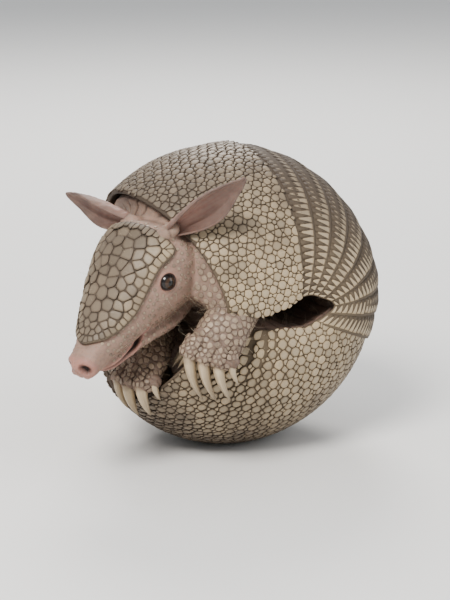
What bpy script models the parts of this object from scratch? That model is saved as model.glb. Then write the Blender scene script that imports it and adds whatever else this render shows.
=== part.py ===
"""A nine-banded armadillo curled up on its rump, life size, modelled as a still museum piece.

Metres, +Z up. The animal faces -X and its left side is -Y. The origin is the centre of the small
flat under the rump that the model rests on, straight below the centre of the curl.

The shell is one parametric surface. A station is an angle round the curl, counted from +X towards
+Z, and at each station a ring crosses the back from one rim of the shell to the other. The plates
are patches of that surface, and the flesh inside them is the same surface drawn inwards.
"""

import math

import bmesh
import bpy
import numpy as np
from mathutils import Matrix, Vector

MM = 0.001
FIT_GAP = 0.4 * MM  # what touching solids keep between them
PLATE_GAP = 0.9 * MM  # between one plate of the shell and the next

# The curl
RUMP_RADIUS = 90 * MM  # from the centre of the curl to the back at the rump
REST_FLAT_DEPTH = 1.5 * MM  # how much of the rump's curve the flat takes off
CENTRE_HEIGHT = RUMP_RADIUS - REST_FLAT_DEPTH
RING_REACH = math.radians(100)  # how far a ring runs from the back to the rim
SHELL_THICKNESS = 3 * MM
SKIN_CLEARANCE = 2.1 * MM

# Angle of the station in degrees, then the back's distance from the centre, half the body's width
# and the place of the rim, in mm
STATIONS = (
    (-168, 90, 52, -36, -9),
    (-145, 90, 60, -24, -4),
    (-120, 90, 67, -13, -3),
    (-90, 90, 72, -4, -3),
    (-60, 90, 73, 6, -3),
    (-20, 90, 72, 19, -2),
    (0, 90, 72, 31, 4),
    (45, 90.5, 72, 21, 13),
    (85, 92, 72, 10, 14),
    (120, 95.5, 74, -7, 8),
    (150, 96, 73, -27, 7),
    (172, 93, 67, -42, 11),
)

# The plates: the stations where each begins and ends on the back
SHOULDER_FRONT = 133
SHOULDER_SWEEP = 37  # how much further forward the shoulder shield reaches at its rim
CHEST_RECESS = 4  # how far inside the shoulder shield's front edge the chest ends, in degrees
BANDS_FRONT = 85
BANDS_REAR = -20
BAND_COUNT = 8
BAND_BULGE = 0.8 * MM
BAND_SHINGLE = 1.8 * MM  # how far a band's rear edge stands above its front edge
PELVIS_REAR = -143
PELVIS_SWEEP = 25
GROIN_RECESS = 20  # how far short of the pelvic shield's edge the flesh ends, in degrees

# The head: its length, and how it is turned from looking straight ahead
HEAD_LENGTH = 107 * MM
HEAD_YAW = 18  # degrees to the animal's left
HEAD_PITCH = 42  # degrees nose down
NOSE_TIP = Vector((-121.7, -43.5, -19.4)) * MM  # from the centre of the curl
# Distance behind the nose tip, half width, crown and underside, in mm
HEAD_SECTIONS = (
    (0, 6.8, 6.4, -5.6),
    (3.5, 9, 8.2, -7),
    (8, 10.4, 9, -7.4),
    (15, 11.8, 9.6, -8),
    (26, 15.6, 12.2, -10.5),
    (41, 21, 17, -14.5),
    (54, 25.5, 21.5, -20),
    (67, 29.5, 25, -25),
    (80, 31.5, 26, -29),
    (91, 30.5, 24.5, -29.5),
    (97, 27, 19, -28),
    (102, 22, 11, -24),
    (107, 12, 2, -14),
)
# The same for the lower jaw: half width, top and underside
JAW_SECTIONS = (
    (9, 4.5, -7.5, -10.5),
    (13, 8.5, -5.5, -13.5),
    (26, 13.5, -6, -17.5),
    (41, 18, -9, -23),
    (54, 21.5, -14, -28.5),
    (64, 22, -19, -30),
)
# Where the edge of the head shield runs: mm behind the nose tip, and its turn from the crown
SHIELD_EDGE = (
    (14, 8),
    (17, 28),
    (20, 44),
    (24, 55),
    (31, 64),
    (41, 67),
    (50, 62),
    (60, 56.5),
    (72, 53),
    (84, 55),
    (88.5, 54),
)
EYE_RADIUS = 5.2 * MM
EYE_PLACE = Vector((-67, 25.6, 7.2)) * MM  # the left eye, from the nose tip, along the head
EAR_LENGTH = 54 * MM
EAR_HALF_WIDTH = 11.6 * MM
EAR_THICKNESS = 1.5 * MM

# Each ear's root on the head, the way it points and the way its hollow faces
EARS = {
    "left": ((-95, 20, 22), (-0.66, 0.72, 0.22), (0.8, 0.5, 0.0)),
    "right": ((-99, -18, 16), (-0.14, -0.97, 0.08), (0.95, 0.27, 0.15)),
}

# The neck: where it ends, then how far along it each section is and its girth against the chest's
NECK_END = Vector((-66, -19, 37)) * MM
NECK_SECTIONS = ((0, 0.98), (0.35, 0.82), (0.6, 0.57), (1, 0.3))

# Limbs: points along each limb from the centre of the curl, then half width and half thickness
FORE_TOES = {
    "left": ((-11.8, 2, 12, 2.8), (-5.6, 6, 21, 3.9), (2.4, 8, 24, 4.0), (10.3, 9, 27, 4.0)),
    "right": ((-11.6, 2, 9, 2.7), (-5.3, 7, 16, 3.8), (2.4, 8, 17, 3.9), (9.6, 6, 16, 3.5)),
}
HIND_TOES = ((-8.6, 4, 7, 1.6), (-4.4, 6, 9, 1.9), (0, 7, 10, 2), (4.4, 6, 9, 1.9), (8.6, 4, 7, 1.6))
LIMBS = {
    "foreleg_left": {
        "path": ((-10, -42, 16), (-25, -56, 9), (-36, -64, 3), (-43.5, -67.5, -4), (-49.5, -68.5, -12)),
        "size": ((14, 13), (13.5, 12.5), (14, 11.5), (14.8, 9), (14.2, 6.5)),
        "back": (-0.60, -0.78, 0.1),
        "toes": FORE_TOES["left"],
        "claw_curl": (0.55, -0.02, -0.83),
    },
    "foreleg_right": {
        "path": ((-12, 34, 20), (-33, 20, -1), (-52, -6, -16), (-66.5, -21, -25), (-76.5, -26, -34)),
        "size": ((13, 12), (12.5, 12), (13, 11), (14, 8.5), (13.5, 6)),
        "back": (-0.80, -0.50, 0.30),
        "toes": FORE_TOES["right"],
        "claw_curl": (0.55, -0.02, -0.83),
    },
    "hindleg_left": {
        "path": ((-4, -36, -20), (-20, -36, -16), (-32, -35, -17), (-41, -33, -19)),
        "size": ((13, 10), (12, 8.5), (11.5, 7), (10.5, 5)),
        "back": (-0.2, -0.1, 1.0),
        "toes": HIND_TOES,
        "claw_curl": (-0.6, 0, -0.7),
    },
    "hindleg_right": {
        "path": ((-4, 37, -18), (-15, 37, -12.5), (-23, 37.5, -11.5), (-30.5, 37, -12.5)),
        "size": ((13, 10), (12, 8.5), (11.5, 7), (10.5, 5)),
        "back": (-0.2, 0.1, 1.0),
        "toes": HIND_TOES,
        "claw_curl": (-0.6, 0, -0.7),
    },
}
LIMB_TRIANGLES = {"foreleg": 230, "hindleg": 100}

# The tail comes forward out of the notch, over the rim on the right and down to the floor behind
TAIL_PATH = (
    (-44, 2, -50),
    (-58, 8, -43),
    (-62, 22, -33),
    (-58, 38, -21),
    (-50, 54, -7),
    (-37, 69.5, -3),
    (-15, 81.5, -13),
    (10, 86, -31),
    (32, 84, -52),
    (53, 74, -73),
    (69, 59, -84.5),
    (80, 41, -86.7),
)
TAIL_RADII = (12, 11.8, 11.4, 11, 10.4, 9.7, 9, 8, 6.8, 5.4, 4.2, 2.4)
TAIL_CUTS = (0.0, 0.2, 0.4, 0.6, 0.8, 1.0)

MATERIALS = {
    "shell": ((0.42, 0.36, 0.28), 0.55),
    "skin": ((0.50, 0.38, 0.32), 0.65),
    "ear": ((0.38, 0.30, 0.27), 0.6),
    "claw": ((0.62, 0.54, 0.40), 0.35),
    "eye": ((0.02, 0.015, 0.01), 0.08),
}


# ---------------------------------------------------------------- helpers


def collection(name):
    made = bpy.data.collections.new(name)
    bpy.context.scene.collection.children.link(made)
    return made


def smooth_curve(position, keys):
    """The values at a position of smooth curves through rows of (position, value, value...)."""
    rows = np.array(keys, float)
    where, values = rows[:, 0], rows[:, 1:]
    slopes = np.gradient(values, where, axis=0)
    position = min(max(position, where[0]), where[-1])
    i = min(int(np.searchsorted(where, position, side="right")) - 1, len(where) - 2)
    span = where[i + 1] - where[i]
    t = (position - where[i]) / span
    return (
        (2 * t**3 - 3 * t**2 + 1) * values[i]
        + (t**3 - 2 * t**2 + t) * span * slopes[i]
        + (3 * t**2 - 2 * t**3) * values[i + 1]
        + (t**3 - t**2) * span * slopes[i + 1]
    )


def smooth_path(points, count):
    """Points spread evenly along a smooth curve through the given ones, as rows of an array."""
    steps = len(points) - 1
    keys = [(i, *p) for i, p in enumerate(points)]
    fine = np.array([smooth_curve(steps * k / 400, keys) for k in range(401)])
    lengths = np.concatenate([[0], np.cumsum(np.linalg.norm(np.diff(fine[:, :3], axis=0), axis=1))])
    even = np.linspace(0, lengths[-1], count)
    return np.array([[np.interp(s, lengths, fine[:, c]) for c in range(fine.shape[1])] for s in even])


def new_object(name, mesh, material, parent=None, smooth=True):
    made = bpy.data.objects.new(name, mesh)
    body.objects.link(made)
    mesh.materials.append(materials[material])
    made.parent = parent or curl_centre
    if smooth:
        mesh.shade_smooth()
    return made


def loft(name, rows, closed_rings, capped):
    """A mesh through rows of points. Rings may close on themselves and the ends may be capped."""
    bm = bmesh.new()
    verts = [[bm.verts.new(p) for p in row] for row in rows]
    width = len(rows[0])
    last = width if closed_rings else width - 1
    for near, far in zip(verts, verts[1:]):
        for i in range(last):
            j = (i + 1) % width
            bm.faces.new((near[i], near[j], far[j], far[i]))
    if capped:
        for ring in (verts[0], verts[-1]):
            middle = bm.verts.new(sum((v.co for v in ring), Vector()) / width)
            for i in range(width):
                bm.faces.new((ring[i], ring[(i + 1) % width], middle))
    bmesh.ops.recalc_face_normals(bm, faces=bm.faces)
    mesh = bpy.data.meshes.new(name)
    bm.to_mesh(mesh)
    bm.free()
    return mesh


def outward_normals(mesh):
    """Turns a closed mesh right side out."""
    bm = bmesh.new()
    bm.from_mesh(mesh)
    bmesh.ops.recalc_face_normals(bm, faces=bm.faces)
    if bm.calc_volume(signed=True) < 0:
        bmesh.ops.reverse_faces(bm, faces=bm.faces)
    bm.to_mesh(mesh)
    bm.free()


def cutter_of(solid):
    """A copy of a solid, swollen by the fit gap, that cuts its neighbours."""
    name = "cut_" + solid.name
    if name in bpy.data.objects:
        return bpy.data.objects[name]
    copy = solid.copy()
    copy.name = name
    swell = copy.modifiers.new("swell", "DISPLACE")
    swell.strength = FIT_GAP
    swell.mid_level = 0
    copy.hide_render = True
    copy.display_type = "WIRE"
    cutters.objects.link(copy)
    return copy


def carve(solid, *neighbours):
    """Cuts a solid back from its neighbours, which stay whole."""
    for neighbour in neighbours:
        cut = solid.modifiers.new("clear_of_" + neighbour.name, "BOOLEAN")
        cut.operation = "DIFFERENCE"
        cut.solver = "EXACT"
        cut.object = neighbour if neighbour.hide_render else cutter_of(neighbour)


def settle(solid):
    """Applies a solid's cuts and keeps its largest piece, without the slivers cuts leave beside it."""
    mesh = bpy.data.meshes.new_from_object(solid.evaluated_get(bpy.context.evaluated_depsgraph_get()))
    solid.modifiers.clear()
    solid.data = mesh
    bm = bmesh.new()
    bm.from_mesh(mesh)
    bmesh.ops.triangulate(bm, faces=bm.faces)
    bmesh.ops.dissolve_degenerate(bm, dist=0.01 * MM, edges=bm.edges)
    left = set(bm.verts)
    pieces = []
    while left:
        piece = {left.pop()}
        edge = list(piece)
        while edge:
            near = {e.other_vert(v) for v in edge for e in v.link_edges} - piece
            piece |= near
            edge = list(near)
        left -= piece
        pieces.append(piece)
    keep = max(pieces, key=len)
    bmesh.ops.delete(bm, geom=[v for v in bm.verts if v not in keep], context="VERTS")
    bm.to_mesh(mesh)
    bm.free()


# ---------------------------------------------------------------- the surface of the curl


def ring_at(station):
    """The back point, the unit vector from the rim to it, half width, depth scale of a ring."""
    radius, width, rim_x, rim_z = smooth_curve(station, STATIONS) * MM
    angle = math.radians(station)
    back = Vector((math.cos(angle), 0, math.sin(angle))) * radius
    rim = Vector((rim_x, 0, rim_z))
    return back, (back - rim).normalized(), width, (back - rim).length / (1 - math.cos(RING_REACH))


def shell_point(station, reach, lift=0.0):
    """A point of the shell. Reach is the angle from the back towards the left rim if it is below 0."""
    back, inward, width, depth = ring_at(station)
    across = Vector((0, 1, 0))
    point = back - inward * depth * (1 - math.cos(reach)) + across * width * math.sin(reach)
    out = (inward * width * math.cos(reach) + across * depth * math.sin(reach)).normalized()
    return point + out * lift


def share(reach):
    """How far a reach is towards the rim, from 0 on the back to 1."""
    return abs(reach) / RING_REACH


def shoulder_front(reach):
    return SHOULDER_FRONT + SHOULDER_SWEEP * share(reach) ** 4


def chest_front(reach):
    return shoulder_front(reach) - CHEST_RECESS


def pelvis_rear(reach):
    return PELVIS_REAR - PELVIS_SWEEP * share(reach) ** 1.6


def groin(reach):
    """Where the flesh ends inside the pelvic shield, which makes room for the tail and hind feet."""
    return pelvis_rear(reach) + GROIN_RECESS


def fixed_edge(station):
    return lambda reach: station


def half_gap(station, reach):
    """Half the gap between two plates at that place, as degrees of station."""
    step = 0.5
    stretch = (shell_point(station + step, reach) - shell_point(station, reach)).length / step
    return 0.5 * PLATE_GAP / stretch


def band_edge(number):
    """The station where a band begins. Band 1 begins where the shoulder shield ends."""
    return BANDS_FRONT + (BANDS_REAR - BANDS_FRONT) * (number - 1) / BAND_COUNT


def band_lift(share_along, reach):
    """The height of a band above the plain surface: it bulges, and its rear edge stands proud."""
    fade = 1 - 0.75 * share(reach) ** 2
    bulge = BAND_BULGE * math.sin(math.pi * share_along)
    return (bulge + BAND_SHINGLE * (share_along - 0.5) + 0.9 * MM) * fade


def plate_rows(front, rear, rows, columns, lift=None, inset=0.0):
    """Rows of points of a patch of the shell between two edges, each a function of the reach."""
    made = []
    for i in range(rows + 1):
        along = i / rows
        row = []
        for k in range(-columns, columns + 1):
            reach = RING_REACH * k / columns
            first = front(reach)
            last = rear(reach)
            first -= half_gap(first, reach)
            last += half_gap(last, reach)
            height = (lift(along, reach) if lift else 0.0) - inset
            row.append(shell_point(first + (last - first) * along, reach, height))
        made.append(row)
    return made


def plate(name, front, rear, rows, columns, lift=None):
    """One plate of the shell: a patch of the surface, thickened inwards."""
    mesh = loft(name, plate_rows(front, rear, rows, columns, lift), False, False)
    middle = mesh.polygons[len(mesh.polygons) // 2]
    if middle.normal.dot(middle.center) < 0:
        mesh.flip_normals()
    made = new_object(name, mesh, "shell")
    wall = made.modifiers.new("wall", "SOLIDIFY")
    wall.thickness = SHELL_THICKNESS
    wall.offset = -1
    return made


def flesh_rings(front, rear, rows, columns, recess):
    """Rings of the flesh under a stretch of shell, closed across the belly, drawn in by recess."""
    belly_steps = 6
    rings = []
    for ring in plate_rows(front, rear, rows, columns, None, SHELL_THICKNESS + SKIN_CLEARANCE):
        right, left = ring[-1], ring[0]
        towards_back = (ring[columns] - (right + left) / 2).normalized()
        for k in range(1, belly_steps):
            turn = math.pi * k / belly_steps
            middle = (right + left) / 2 + (right - left) / 2 * math.cos(turn)
            ring.append(middle + towards_back * recess * math.sin(turn))
        rings.append(ring)
    return rings


def flesh(name, *outline):
    mesh = loft(name, flesh_rings(*outline), True, True)
    outward_normals(mesh)
    return new_object(name, mesh, "skin")


def build_neck(*chest_outline):
    """The thick neck, which narrows from the front of the chest to the back of the head."""
    base = flesh_rings(*chest_outline)[0]
    middle = sum(base, Vector()) / len(base)
    rows = []
    for along, girth in NECK_SECTIONS:
        centre = middle.lerp(NECK_END, along)
        centre.x -= FIT_GAP * 1.5
        rows.append([centre + (point - middle) * girth for point in base])
    mesh = loft("neck", rows, True, True)
    outward_normals(mesh)
    return new_object("neck", mesh, "skin")


# ---------------------------------------------------------------- the head


def head_matrix():
    """Places the head: local +X is the way the nose points, +Y the head's left, +Z its crown."""
    facing = Matrix.Rotation(math.pi, 4, "Z")
    yaw = Matrix.Rotation(math.radians(HEAD_YAW), 4, "Z")
    pitch = Matrix.Rotation(math.radians(HEAD_PITCH), 4, "Y")
    return Matrix.Translation(NOSE_TIP) @ facing @ yaw @ pitch


def head_point(behind, turn, lift=0.0):
    """A point of the head's skin, behind the nose tip, turned from the crown towards its left."""
    half, crown, under = smooth_curve(behind / MM, HEAD_SECTIONS) * MM
    height = (crown - under) / 2
    squareness = 2.3
    side = math.copysign(abs(math.sin(turn)) ** (2 / squareness), math.sin(turn))
    rise = math.copysign(abs(math.cos(turn)) ** (2 / squareness), math.cos(turn))
    out = Vector((0, math.sin(turn), math.cos(turn)))
    return Vector((-behind, half * side, (crown + under) / 2 + height * rise)) + out * lift


def build_head(frame):
    rings = 14
    sides = 16
    rows = []
    for i in range(rings):
        behind = HEAD_LENGTH * (i / (rings - 1)) ** 1.15
        rows.append([head_point(behind, 2 * math.pi * k / sides) for k in range(sides)])
    mesh = loft("head", rows, True, True)
    outward_normals(mesh)
    return new_object("head", mesh, "skin", frame)


def build_jaw(frame):
    rings = 8
    sides = 12
    first, last = JAW_SECTIONS[0][0], JAW_SECTIONS[-1][0]
    rows = []
    for i in range(rings):
        behind = first + (last - first) * i / (rings - 1)
        half, top, under = smooth_curve(behind, JAW_SECTIONS) * MM
        middle, height = (top + under) / 2, (top - under) / 2
        turns = [2 * math.pi * k / sides for k in range(sides)]
        rows.append([(-behind * MM, half * math.sin(t), middle + height * math.cos(t)) for t in turns])
    mesh = loft("lower_jaw", rows, True, True)
    outward_normals(mesh)
    return new_object("lower_jaw", mesh, "skin", frame)


def build_head_shield(frame):
    """The shield on top of the head, from above the nose to between the ears."""
    front, rear = SHIELD_EDGE[0][0] * MM, SHIELD_EDGE[-1][0] * MM
    rows, columns = 10, 4
    points = []
    for i in range(rows + 1):
        along = i / rows
        behind = front + (rear - front) * along**1.25
        edge = math.radians(smooth_curve(behind / MM, SHIELD_EDGE)[0])
        row = []
        for k in range(-columns, columns + 1):
            t = k / columns
            rounding = -5 * MM * along**3 * t * t
            row.append(head_point(behind + rounding, edge * t, 0.8 * MM))
        points.append(row)
    mesh = loft("head_shield", points, False, False)
    if mesh.polygons[len(mesh.polygons) // 2].normal.z < 0:
        mesh.flip_normals()
    made = new_object("head_shield", mesh, "shell", frame)
    wall = made.modifiers.new("wall", "SOLIDIFY")
    wall.thickness = 1.5 * MM
    wall.offset = 1
    return made


def build_eye(side, frame):
    bm = bmesh.new()
    bmesh.ops.create_uvsphere(bm, u_segments=10, v_segments=7, radius=EYE_RADIUS)
    mesh = bpy.data.meshes.new("eye_" + side)
    bm.to_mesh(mesh)
    bm.free()
    made = new_object("eye_" + side, mesh, "eye", frame)
    sign = 1 if side == "left" else -1
    made.location = (EYE_PLACE.x, sign * EYE_PLACE.y, EYE_PLACE.z)
    return made


def build_ear(side, frame):
    """A pointed leaf, rolled into a tube at its root and opening towards its tip."""
    rows, columns = 9, 3
    points = []
    for i in range(rows + 1):
        along = i / rows
        half = EAR_HALF_WIDTH * (0.52 + 0.48 * math.sin(math.pi * min(1, along * 1.25) * 0.8)) * (
            1 - along**3.2
        ) + 0.5 * MM
        roll = math.radians(120 - 75 * along**0.7)
        radius = half / roll * 1.25
        bend = 5 * MM * along**2
        row = []
        for k in range(-columns, columns + 1):
            turn = roll * k / columns
            row.append(
                (radius * math.sin(turn), bend - radius * (math.cos(turn) - 1), EAR_LENGTH * along)
            )
        points.append(row)
    mesh = loft("ear_" + side, points, False, False)
    root, direction, hollow = (Vector(v) for v in EARS[side])
    axis = direction.normalized()
    facing = (hollow - axis * hollow.dot(axis)).normalized()
    made = new_object("ear_" + side, mesh, "ear", frame)
    turn = Matrix((facing.cross(axis), facing, axis)).transposed().to_4x4()
    made.matrix_local = Matrix.Translation(root * MM) @ turn
    wall = made.modifiers.new("wall", "SOLIDIFY")
    wall.thickness = EAR_THICKNESS
    wall.offset = 0
    bm = bmesh.new()
    lengthwise = Matrix.Translation((0, 5 * MM, 7 * MM))
    radius, depth = 10.5 * MM, 26 * MM
    bmesh.ops.create_cone(
        bm, cap_ends=True, segments=14, radius1=radius, radius2=radius, depth=depth, matrix=lengthwise
    )
    mesh = bpy.data.meshes.new("socket_" + side)
    bm.to_mesh(mesh)
    bm.free()
    socket = bpy.data.objects.new("socket_" + side, mesh)
    socket.parent = frame
    socket.matrix_local = made.matrix_local
    socket.hide_render = True
    socket.display_type = "WIRE"
    cutters.objects.link(socket)
    return made, socket


# ---------------------------------------------------------------- neck, limbs and tail


def tube_rows(centres, sizes, back, sides):
    """Rings along a path. A size is half the width and half the thickness, back the way it faces."""
    rows = []
    for i, centre in enumerate(centres):
        ahead = centres[min(i + 1, len(centres) - 1)] - centres[max(i - 1, 0)]
        ahead.normalize()
        up = (back - ahead * back.dot(ahead)).normalized()
        across = ahead.cross(up)
        wide, thick = sizes[i]
        turns = [2 * math.pi * k / sides for k in range(sides)]
        rows.append(
            [centre + across * wide * math.cos(t) + up * thick * math.sin(t) for t in turns]
        )
    return rows


def claw_mesh(name, root, ahead, curl, length, thickness, back):
    """A curved claw that leaves the toe along ahead and bends towards curl."""
    steps, sides = 3, 6
    middle = root + (ahead + curl).normalized() * length * 0.5
    tip = middle + curl * length * 0.55
    centres, sizes = [], []
    for i in range(steps + 1):
        t = i / steps
        centres.append(root * (1 - t) ** 2 + middle * 2 * t * (1 - t) + tip * t * t)
        girth = thickness * (1 - 0.88 * t**1.8)
        sizes.append((girth, girth * 1.15))
    mesh = loft(name, tube_rows(centres, sizes, back, sides), True, True)
    outward_normals(mesh)
    return mesh


def build_limb(name):
    """A limb with its toes as one solid, and its claws as their own."""
    plan = LIMBS[name]
    back = Vector(plan["back"]).normalized()
    curl = Vector(plan["claw_curl"]).normalized()
    steps = 14
    path = smooth_path([p + s for p, s in zip(plan["path"], plan["size"])], steps) * MM
    centres = [Vector(p[:3]) for p in path]
    ahead = (centres[-1] - centres[-3]).normalized()
    up = (back - ahead * back.dot(ahead)).normalized()
    across = ahead.cross(up)
    pieces = [tube_rows(centres, [p[3:] for p in path], back, 16)]
    claws = []
    end = centres[-1]
    for number, (offset, toe, claw, girth) in enumerate(plan["toes"], 1):
        spread = (ahead + across * offset * 0.008).normalized()
        root = end + across * offset * MM - ahead * 4 * MM
        tip = root + spread * (toe + 4) * MM - up * 0.5 * MM
        places = [root.lerp(tip, t) for t in (0, 0.35, 0.7, 0.9, 1)]
        fat = girth * MM
        girths = [fat * s for s in (1.75, 1.8, 1.75, 1.5, 0.9)]
        pieces.append(tube_rows(places, [(g, g * 1.05) for g in girths], back, 10))
        claw_root = tip - spread * 3.2 * MM + up * 0.4 * MM
        claw_name = f"{name}_claw_{number}"
        mesh = claw_mesh(claw_name, claw_root, spread, curl, (claw + 3) * MM, fat, back)
        claws.append(new_object(claw_name, mesh, "claw"))
    bm = bmesh.new()
    for rows in pieces:
        part = loft(name, rows, True, True)
        outward_normals(part)
        bm.from_mesh(part)
        bpy.data.meshes.remove(part)
    mesh = bpy.data.meshes.new(name)
    bm.to_mesh(mesh)
    bm.free()
    limb = new_object(name, mesh, "skin")
    join = limb.modifiers.new("join", "REMESH")
    join.mode = "VOXEL"
    join.voxel_size = 1.1 * MM
    soften = limb.modifiers.new("soften", "SMOOTH")
    soften.iterations = 3
    made = bpy.data.meshes.new_from_object(limb.evaluated_get(bpy.context.evaluated_depsgraph_get()))
    limb.modifiers.clear()
    limb.data = made
    thin = limb.modifiers.new("thin", "DECIMATE")
    thin.ratio = LIMB_TRIANGLES[name.split("_")[0]] / (2 * len(made.polygons))
    for claw in claws:
        carve(limb, claw)
    return limb, claws


def build_tail():
    """The tail in lengths, each a stretch of one tapering tube with a flat where it lies down."""
    stations = 31
    sides = 9
    path = smooth_path([p + (r,) for p, r in zip(TAIL_PATH, TAIL_RADII)], stations) * MM
    centres = [Vector(p[:3]) for p in path]
    sizes = [(p[3], p[3]) for p in path]
    rows = tube_rows(centres, sizes, Vector((0, 0, 1)), sides)
    lengths = []
    for number, (start, end) in enumerate(zip(TAIL_CUTS, TAIL_CUTS[1:]), 1):
        first = round(start * (stations - 1))
        last = round(end * (stations - 1))
        stretch = [list(row) for row in rows[first : last + 1]]
        if number > 1:
            back = (centres[first + 1] - centres[first]).normalized()
            stretch[0] = [p + back * FIT_GAP for p in stretch[0]]
        name = f"tail_{number}"
        mesh = loft(name, stretch, True, True)
        outward_normals(mesh)
        lengths.append(new_object(name, mesh, "shell"))
    return lengths


def build_floor():
    """A block whose top is the floor, to cut the flats the model rests on."""
    bm = bmesh.new()
    bmesh.ops.create_cube(bm, size=0.5)
    mesh = bpy.data.meshes.new("floor_block")
    bm.to_mesh(mesh)
    bm.free()
    made = bpy.data.objects.new("floor_block", mesh)
    made.location.z = -0.25
    made.hide_render = True
    made.display_type = "WIRE"
    cutters.objects.link(made)
    return made


# ---------------------------------------------------------------- the model

for leftover in list(bpy.data.objects):
    bpy.data.objects.remove(leftover, do_unlink=True)

body = collection("armadillo")
cutters = collection("cutters")
materials = {}
for material_name, (colour, roughness) in MATERIALS.items():
    finish = bpy.data.materials.new(material_name)
    finish.use_nodes = True
    shader = finish.node_tree.nodes["Principled BSDF"]
    shader.inputs["Base Color"].default_value = (*colour, 1)
    shader.inputs["Roughness"].default_value = roughness
    shader.inputs["Metallic"].default_value = 0
    materials[material_name] = finish

curl_centre = bpy.data.objects.new("curl_centre", None)
curl_centre.location = (0, 0, CENTRE_HEIGHT)
body.objects.link(curl_centre)
head_frame = bpy.data.objects.new("head_frame", None)
head_frame.parent = curl_centre
head_frame.matrix_local = head_matrix()
body.objects.link(head_frame)

shoulder_shield = plate("shoulder_shield", shoulder_front, fixed_edge(BANDS_FRONT), 6, 9)
bands = []
for band in range(1, BAND_COUNT + 1):
    begins, ends = fixed_edge(band_edge(band)), fixed_edge(band_edge(band + 1))
    bands.append(plate(f"band_{band}", begins, ends, 2, 7, band_lift))
pelvic_shield = plate("pelvic_shield", fixed_edge(BANDS_REAR), pelvis_rear, 9, 9)

chest_outline = (chest_front, fixed_edge(BANDS_FRONT), 5, 6, -5 * MM)
chest = flesh("chest", *chest_outline)
loin = flesh("loin", fixed_edge(BANDS_FRONT), fixed_edge(BANDS_REAR), 8, 6, -9 * MM)
pelvis = flesh("pelvis", fixed_edge(BANDS_REAR), groin, 7, 6, -6 * MM)

head = build_head(head_frame)
lower_jaw = build_jaw(head_frame)
head_shield = build_head_shield(head_frame)
eyes = [build_eye(eye_side, head_frame) for eye_side in ("left", "right")]
ears, sockets = zip(*[build_ear(ear_side, head_frame) for ear_side in ("left", "right")])
neck = build_neck(*chest_outline)
limbs = {limb_name: build_limb(limb_name) for limb_name in LIMBS}
tail = build_tail()

floor = build_floor()
carve(pelvic_shield, floor)
for length in tail[3:]:
    carve(length, floor)
carve(head, *eyes)
settle(head)
carve(lower_jaw, head)
settle(lower_jaw)
carve(chest, head)
settle(chest)
carve(pelvis, chest, *limbs["hindleg_right"][1])
settle(pelvis)
for ear in ears:
    carve(ear, head, head_shield)
    settle(ear)
carve(neck, head, head_shield, lower_jaw, *sockets, *ears)
carve(chest, *sockets, *ears)
settle(neck)
for limb_name in ("foreleg_left", "foreleg_right", "hindleg_left", "hindleg_right"):
    limb = limbs[limb_name][0]
    carve(limb, chest, pelvis, loin, neck, shoulder_shield, pelvic_shield)
    settle(limb)
for length in tail[:2]:
    carve(length, pelvis, pelvic_shield)
    settle(length)
carve(limbs["hindleg_right"][0], limbs["foreleg_right"][0], tail[0], tail[1])
settle(limbs["hindleg_right"][0])
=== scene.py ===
# %% [markdown]
# # A curled nine-banded armadillo
#
# A museum shows an armadillo asleep or at rest as a still, life-size model. This lesson dresses the
# plain solids of such a model: a bony shell whose plates carry hundreds of horny scutes, bare
# pebbled skin where the shell leaves off, horn claws, leathery ears and small wet eyes.
#
# Every piece is made where it stands, in metres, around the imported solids. The solids stay for the
# physics, and each piece below says which of them it stands for.

import math
import time

import bmesh
import bpy
import numpy as np
from mathutils import Matrix, Vector, noise
from mathutils.bvhtree import BVHTree
from mathutils.kdtree import KDTree


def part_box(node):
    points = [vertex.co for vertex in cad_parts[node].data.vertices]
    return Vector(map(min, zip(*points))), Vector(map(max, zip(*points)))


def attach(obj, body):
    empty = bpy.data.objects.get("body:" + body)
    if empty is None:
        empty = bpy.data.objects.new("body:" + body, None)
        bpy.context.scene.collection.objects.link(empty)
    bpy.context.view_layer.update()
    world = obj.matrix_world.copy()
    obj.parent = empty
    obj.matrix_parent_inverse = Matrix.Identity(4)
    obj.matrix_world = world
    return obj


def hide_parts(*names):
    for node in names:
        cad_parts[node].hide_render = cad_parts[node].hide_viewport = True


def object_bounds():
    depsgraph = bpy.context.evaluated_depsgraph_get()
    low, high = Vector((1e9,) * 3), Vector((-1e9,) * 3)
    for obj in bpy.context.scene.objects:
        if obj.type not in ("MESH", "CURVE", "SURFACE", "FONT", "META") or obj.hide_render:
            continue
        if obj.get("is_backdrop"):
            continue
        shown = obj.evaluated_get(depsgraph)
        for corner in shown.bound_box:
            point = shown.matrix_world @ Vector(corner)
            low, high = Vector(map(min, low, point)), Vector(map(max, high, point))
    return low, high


started = time.time()
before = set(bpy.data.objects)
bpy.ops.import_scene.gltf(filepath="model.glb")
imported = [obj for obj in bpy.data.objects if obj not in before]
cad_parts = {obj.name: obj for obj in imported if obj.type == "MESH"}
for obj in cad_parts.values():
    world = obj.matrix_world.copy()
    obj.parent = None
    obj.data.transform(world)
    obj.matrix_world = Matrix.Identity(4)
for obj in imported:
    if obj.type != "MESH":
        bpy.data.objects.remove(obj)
cad_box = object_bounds()
MM = 0.001
print(len(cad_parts), "solids, from", *[tuple(round(c, 4) for c in corner) for corner in cad_box])

# %% [markdown]
# ## The surface of the curl
#
# A curled armadillo is a ball with a notch. Each ring of its shell crosses the back from one rim to
# the other, and the rims draw together at a pivot by the belly, so the rings open like a fan. A
# station is the angle of a ring round the curl, and a reach is how far a point lies from the back
# towards the rim. One pair of numbers then names any place on the shell, and the plates, the scutes
# and the flesh below can all be laid out with it. The solids use the same surface.

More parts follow.
